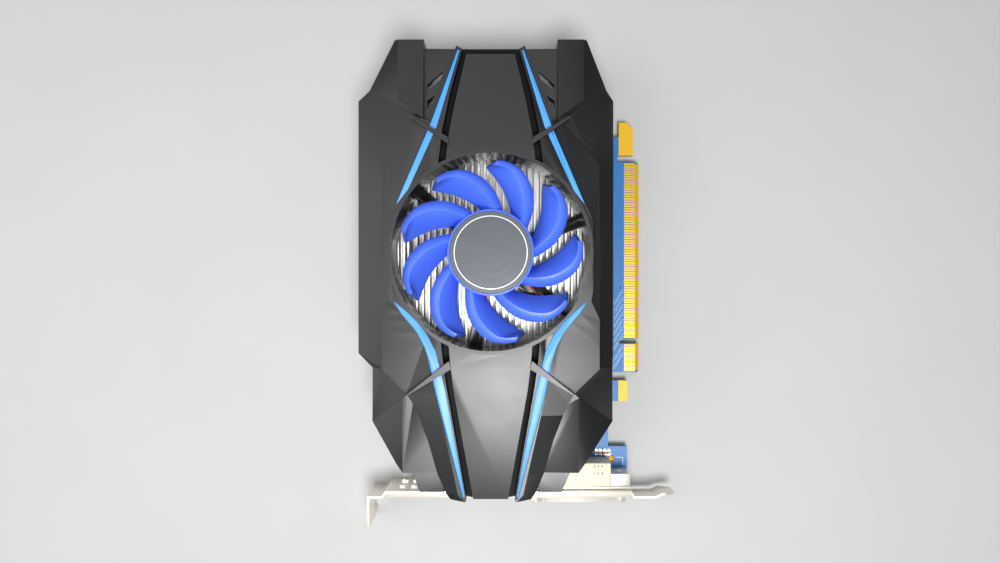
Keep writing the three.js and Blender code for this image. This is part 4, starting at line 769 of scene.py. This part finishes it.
def makeCapacitors():
    r, top, low, half, cut = (power[key] for key in ("canRadius", "canTop", "footTop", "footHalf", "footCut"))
    for number, (x, y) in enumerate(power["capacitors"], 1):
        bm = bmesh.new()
        profile = [(0, top - power["canDish"])] + [(r - inset, top + rise) for inset, rise in canRim]
        profile += [(r - inset, low + rise) for inset, rise in canCrimp] + [(0, low + canCrimp[-1][1])]
        spinProfile(bm, profile, x, y, 40)
        finishPiece("capacitorCan%d" % number, bm, canister, "card",
                    ["capacitor_%d" % number], 28)
        bm = bmesh.new()
        addSlab(bm, [(x - half, y - half), (x + half, y - half), (x + half, y + half - cut),
                     (x + half - cut, y + half), (x - half + cut, y + half), (x - half, y + half - cut)],
                power["footLow"], low)
        softenEdges(bm, power["footRound"])
        finishPiece("capacitorFoot%d" % number, bm, blackEpoxy, "card")
        bm = bmesh.new()  # the printed half that marks the negative side
        reach, steps = r - power["markInset"], power["markSteps"]
        turns = [math.radians(power["markFrom"] + power["markTurn"] * i / steps) for i in range(steps + 1)]
        inkTop = top - power["canDish"] + power["film"]
        addSlab(bm, [(x + reach * math.cos(a), y + reach * math.sin(a)) for a in turns],
                inkTop - power["markThick"], inkTop)
        finishPiece("capacitorMark%d" % number, bm, navyInk, "card")


def makeChokes():
    half, wide = power["chokeHalf"], power["terminalHalf"]
    for number, (x, y) in enumerate(power["chokes"], 1):
        bm = bmesh.new()
        roundedBox(bm, at(x - half, y - half, power["chokeLow"]), at(x + half, y + half, power["chokeTop"]),
                   power["chokeRound"], 3)
        finishPiece("powerChoke%d" % number, bm, ferrite, "card", ["power_choke_%d" % number], 40)
        bm = bmesh.new()
        for side in (-1, 1):
            x0, x1 = sorted(x + side * (half + out) for out in (-power["terminalIn"], power["terminalOut"]))
            roundedBox(bm, at(x0, y - wide, power["film"]), at(x1, y + wide, power["terminalTop"]),
                       power["terminalRound"], 1)
        finishPiece("chokeTerminals%d" % number, bm, solderTin, "card")


# a leaded case: half its length and width, then its legs, as (from, to) outwards from the middle
leaded = {"halfX": 2.4, "halfY": 2.9, "low": 0.15, "round": 0.12, "dot": (-1.6, 2.1, 0.35), "dotSides": 14,
          "dotZ": (-0.02, 0.015),
          "pitch": 1.27, "legs": 4, "legHalf": 0.2, "shoulder": (2.3, 2.75), "shin": (2.62, 2.78),
          "foot": (2.65, 3.35), "legShare": 0.45, "sheet": 0.16, "footZ": (0.02, 0.18), "shinZ": 0.1}


def makeLeadedChip(name, x, y, top, node):
    bm = bmesh.new()
    halfX, halfY = leaded["halfX"], leaded["halfY"]
    roundedBox(bm, at(x - halfX, y - halfY, leaded["low"]), at(x + halfX, y + halfY, top), leaded["round"], 2)
    finishPiece(name, bm, blackEpoxy, "card", [node], 40)
    bm = bmesh.new()
    dotX, dotY, dotRadius = leaded["dot"]
    dotLow, dotHigh = leaded["dotZ"]
    addDisc(bm, x + dotX, y + dotY, dotRadius, top + dotLow, top + dotHigh, leaded["dotSides"])
    finishPiece(name + "Dot", bm, resistorGlaze, "card")
    bm = bmesh.new()
    bend, half = top * leaded["legShare"], leaded["legHalf"]
    legParts = ((leaded["shoulder"], (bend, bend + leaded["sheet"])),
                (leaded["shin"], (leaded["shinZ"], bend + leaded["shinZ"])),
                (leaded["foot"], leaded["footZ"]))
    for side in (-1, 1):
        for i in range(leaded["legs"]):
            middle = y + (i - (leaded["legs"] - 1) / 2) * leaded["pitch"]
            for (near, far), (z0, z1) in legParts:
                x0, x1 = sorted((x + side * near, x + side * far))
                addBlock(bm, x0, x1, middle - half, middle + half, z0, z1)
    finishPiece(name + "Legs", bm, solderTin, "card")


# cone springs: wire and coil radius, and the heights between which they are wound
spring = {"wire": 0.17, "turns": 2.6, "small": 2.0, "large": 2.5, "low": -2.9, "high": -1.9, "steps": 52}


def makeSprings():
    for number in range(1, 5):
        low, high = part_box("cooler_spring_%d" % number)
        middle = (low + high) / 2
        path = []
        for i in range(spring["steps"] + 1):
            t = i / spring["steps"]
            angle = 2 * math.pi * spring["turns"] * t
            radius = (spring["small"] + (spring["large"] - spring["small"]) * t) * mm
            z = boardTop + (spring["low"] + (spring["high"] - spring["low"]) * t) * mm
            path.append(Vector((middle.x + radius * math.cos(angle), middle.y + radius * math.sin(angle), z)))
        bm = bmesh.new()
        addTube(bm, path, spring["wire"], 6)
        name = "cooler_spring_%d" % number
        finishPiece("coolerSpring%d" % number, bm, zincSteel, "card", [name], 60)


makeCapacitors()
makeChokes()
makeLeadedChip("biosChip", *power["bios"], power["biosTop"], "bios_chip")
for number, (x, y) in enumerate(power["switches"], 1):
    makeLeadedChip("powerSwitch%d" % number, x, y, power["switchTop"], "power_switch_%d" % number)
makeSprings()
print("power parts made")


# fan lead: three wires twisted together
# fromHub: radius and height along one strut of the fan frame; toSocket: the way down to the board
lead = {"angle": 320.0, "wire": 0.43, "lay": 0.47, "twistMm": 11.0, "samples": 18,
        "fromHub": ((13, 17.1), (20, 17.1), (30.7, 17.1), (38.7, 16.6)),
        "toSocket": ((30.5, -33, 16.2), (30, -44, 16.2), (30, -59, 16.4), (30, -66.5, 15.2), (30, -68, 11.6),
                     (30, -68, 8.9))}


def leadRoute():  # a smooth curve through the control points
    control = [Vector(polar(radius, lead["angle"], z)) for radius, z in lead["fromHub"]]
    control += [Vector(point) for point in lead["toSocket"]]
    points = []
    ends = [2 * control[0] - control[1]] + control + [2 * control[-1] - control[-2]]
    for a, b, c, d in zip(ends, ends[1:], ends[2:], ends[3:]):
        for k in range(lead["samples"]):
            t = k / lead["samples"]
            points.append(0.5 * (2 * b + (c - a) * t + (2 * a - 5 * b + 4 * c - d) * t ** 2
                                 + (3 * b - a - 3 * c + d) * t ** 3))
    return points + [control[-1]]


def makeLead():
    route = leadRoute()
    for number, (material, name) in enumerate(((blackPvc, "leadBlack"), (redPvc, "leadRed"),
                                               (yellowPvc, "leadYellow"))):
        path, run, normal = [], 0.0, None
        for i, point in enumerate(route):
            ahead = (route[min(i + 1, len(route) - 1)] - route[max(i - 1, 0)]).normalized()
            normal = Vector((0, 0, 1)) if normal is None else normal
            normal = (normal - ahead * normal.dot(ahead)).normalized()
            side = ahead.cross(normal)
            run += (point - route[i - 1]).length if i else 0.0
            angle = 2 * math.pi * (run / lead["twistMm"] + number / 3)
            offset = (normal * math.cos(angle) + side * math.sin(angle)) * lead["lay"]
            path.append(at(*(point + offset)))
        bm = bmesh.new()
        addTube(bm, path, lead["wire"], 8)
        finishPiece(name, bm, material, "card", ["fan_lead"] if number == 0 else [], 60)


makeLead()
print("lead made")


# contacts inside the two sockets, with dark patches painted as the shade in the contact holes, the blade slot
# and the moulding dimples
sockets = {"wideFace": -91.1, "wideZ": 6.0, "wideFirst": 24.7, "widePitch": 1.9, "wideCount": 8,
           "holeHalf": 0.5, "pinHalf": 0.25, "pinZ": (-0.4, -0.15), "proud": 0.02, "deep": 0.1,
           "bladeX": 42.6, "bladeReach": 2.2, "bladeHalf": 0.35,
           "dimpleX": (40.3, 41.8, 43.3), "dimpleY": (-82.7, -85.5), "dimpleHalf": (0.32, 0.45),
           "dimpleZ": (11.2, 11.32), "narrowX": 1.6, "narrowFront": -91.9, "narrowIn": (0.4, 5),
           "narrowZ": (2.4, 3.5), "narrowCount": 10, "narrowPitch": 1.0, "narrowHalf": 0.28,
           "narrowProud": 0.04}


def makeSocketContacts():
    dark, gold = bmesh.new(), bmesh.new()
    middle, pitch, half, pin = (sockets[key] for key in ("wideZ", "widePitch", "holeHalf", "pinHalf"))
    front, back = sockets["wideFace"] - sockets["proud"], sockets["wideFace"] + sockets["deep"]
    pinLow, pinHigh = sockets["pinZ"]
    for i in range(sockets["wideCount"]):
        for row in (-1, 0, 1):
            x, z = sockets["wideFirst"] + i * pitch, middle + row * pitch
            # each contact hole is a dark square just proud of the face, painted as the shade inside it
            addBlock(dark, x - half, x + half, front, back, z - half, z + half)
            addBlock(gold, x - pin, x + pin, front - sockets["proud"], back, z + pinLow, z + pinHigh)
    x, long, thin = sockets["bladeX"], sockets["bladeReach"], sockets["bladeHalf"]
    # the slot of the ground blade is a dark cross, painted as the shade inside it
    addBlock(dark, x - long, x + long, front, back, middle - thin, middle + thin)
    addBlock(dark, x - thin, x + thin, front, back, middle - long, middle + long)
    halfX, halfY = sockets["dimpleHalf"]
    for x in sockets["dimpleX"]:  # dark patches painted as the shade in the moulding dimples on top of the wide socket
        for y in sockets["dimpleY"]:
            addBlock(dark, x - halfX, x + halfX, y - halfY, y + halfY, *sockets["dimpleZ"])
    low, high = sockets["narrowZ"]
    y0, y1 = (sockets["narrowFront"] + inwards for inwards in sockets["narrowIn"])
    half, proud, sunk = sockets["narrowHalf"], sockets["narrowProud"], sockets["proud"]
    for i in range(sockets["narrowCount"]):
        x = sockets["narrowX"] + (i - (sockets["narrowCount"] - 1) / 2) * sockets["narrowPitch"]
        addBlock(gold, x - half, x + half, y0, y1, high - sunk, high + proud)
        addBlock(gold, x - half, x + half, y0, y1, low - proud, low + sunk)
    finishPiece("contactHoleShade", dark, resistorGlaze, "card")
    finishPiece("socketContacts", gold, goldFlash, "card")


makeSocketContacts()
print("socket contacts made")


# the board itself stays as it is, under its solder mask
boardMesh = frame["nodes"]["circuit_board"].data
boardMesh.materials.clear()
boardMesh.materials.append(solderMask)
print("board finished")


# floor, light and camera; the camera's place is in millimetres from the fan axis
stage = {"floorSide": 5.0, "floorColour": "bcbdbc", "cameraX": 3.4, "cameraY": -10.6, "cameraZ": 282.0,
         "lensMm": 24.984, "sensorMm": 36.0, "sky": 0.16}
# name: place in metres, disk size in metres, watts
lights = {"keyLight": ((0.03, -0.19, 0.62), 0.25, 4.2), "topLight": ((-0.12, 0.27, 0.8), 0.75, 1.5),
          "leftLight": ((-0.55, -0.02, 0.48), 0.7, 2.4), "rightLight": ((0.5, 0.25, 0.5), 0.3, 0.12)}


def makeStage():
    bm = bmesh.new()
    bmesh.ops.create_grid(bm, x_segments=1, y_segments=1, size=stage["floorSide"] / 2)
    mesh = bpy.data.meshes.new("floor")
    bm.to_mesh(mesh)
    bm.free()
    mesh.materials.append(makeSurface("paleFloor", stage["floorColour"], "b6b7b6", 0.7, 0.05, grainMm=1.5,
                                      grainDepth=0.02, patchMm=60))
    floor = bpy.data.objects.new("floor", mesh)
    bpy.context.scene.collection.objects.link(floor)
    for name, (place, size, watts) in lights.items():
        lamp = bpy.data.lights.new(name, "AREA")
        lamp.shape = "DISK"
        lamp.size = size
        lamp.energy = watts
        light = bpy.data.objects.new(name, lamp)
        light.location = place
        light.rotation_euler = (-Vector(place)).to_track_quat("-Z", "Y").to_euler()
        bpy.context.scene.collection.objects.link(light)
    world = bpy.data.worlds.new("studio")
    world.use_nodes = True
    world.node_tree.nodes["Background"].inputs["Color"].default_value = tint("f4f6f8")
    world.node_tree.nodes["Background"].inputs["Strength"].default_value = stage["sky"]
    bpy.context.scene.world = world
    bpy.context.scene.view_settings.view_transform = "Standard"
    lens = bpy.data.cameras.new("camera")
    lens.sensor_width = stage["sensorMm"]
    lens.lens = stage["lensMm"]
    lens.dof.use_dof = False
    lens.clip_start = 0.01
    camera = bpy.data.objects.new("camera", lens)
    camera.location = at(stage["cameraX"], stage["cameraY"], stage["cameraZ"])
    bpy.context.scene.collection.objects.link(camera)
    bpy.context.scene.camera = camera


makeStage()
print("stage made")
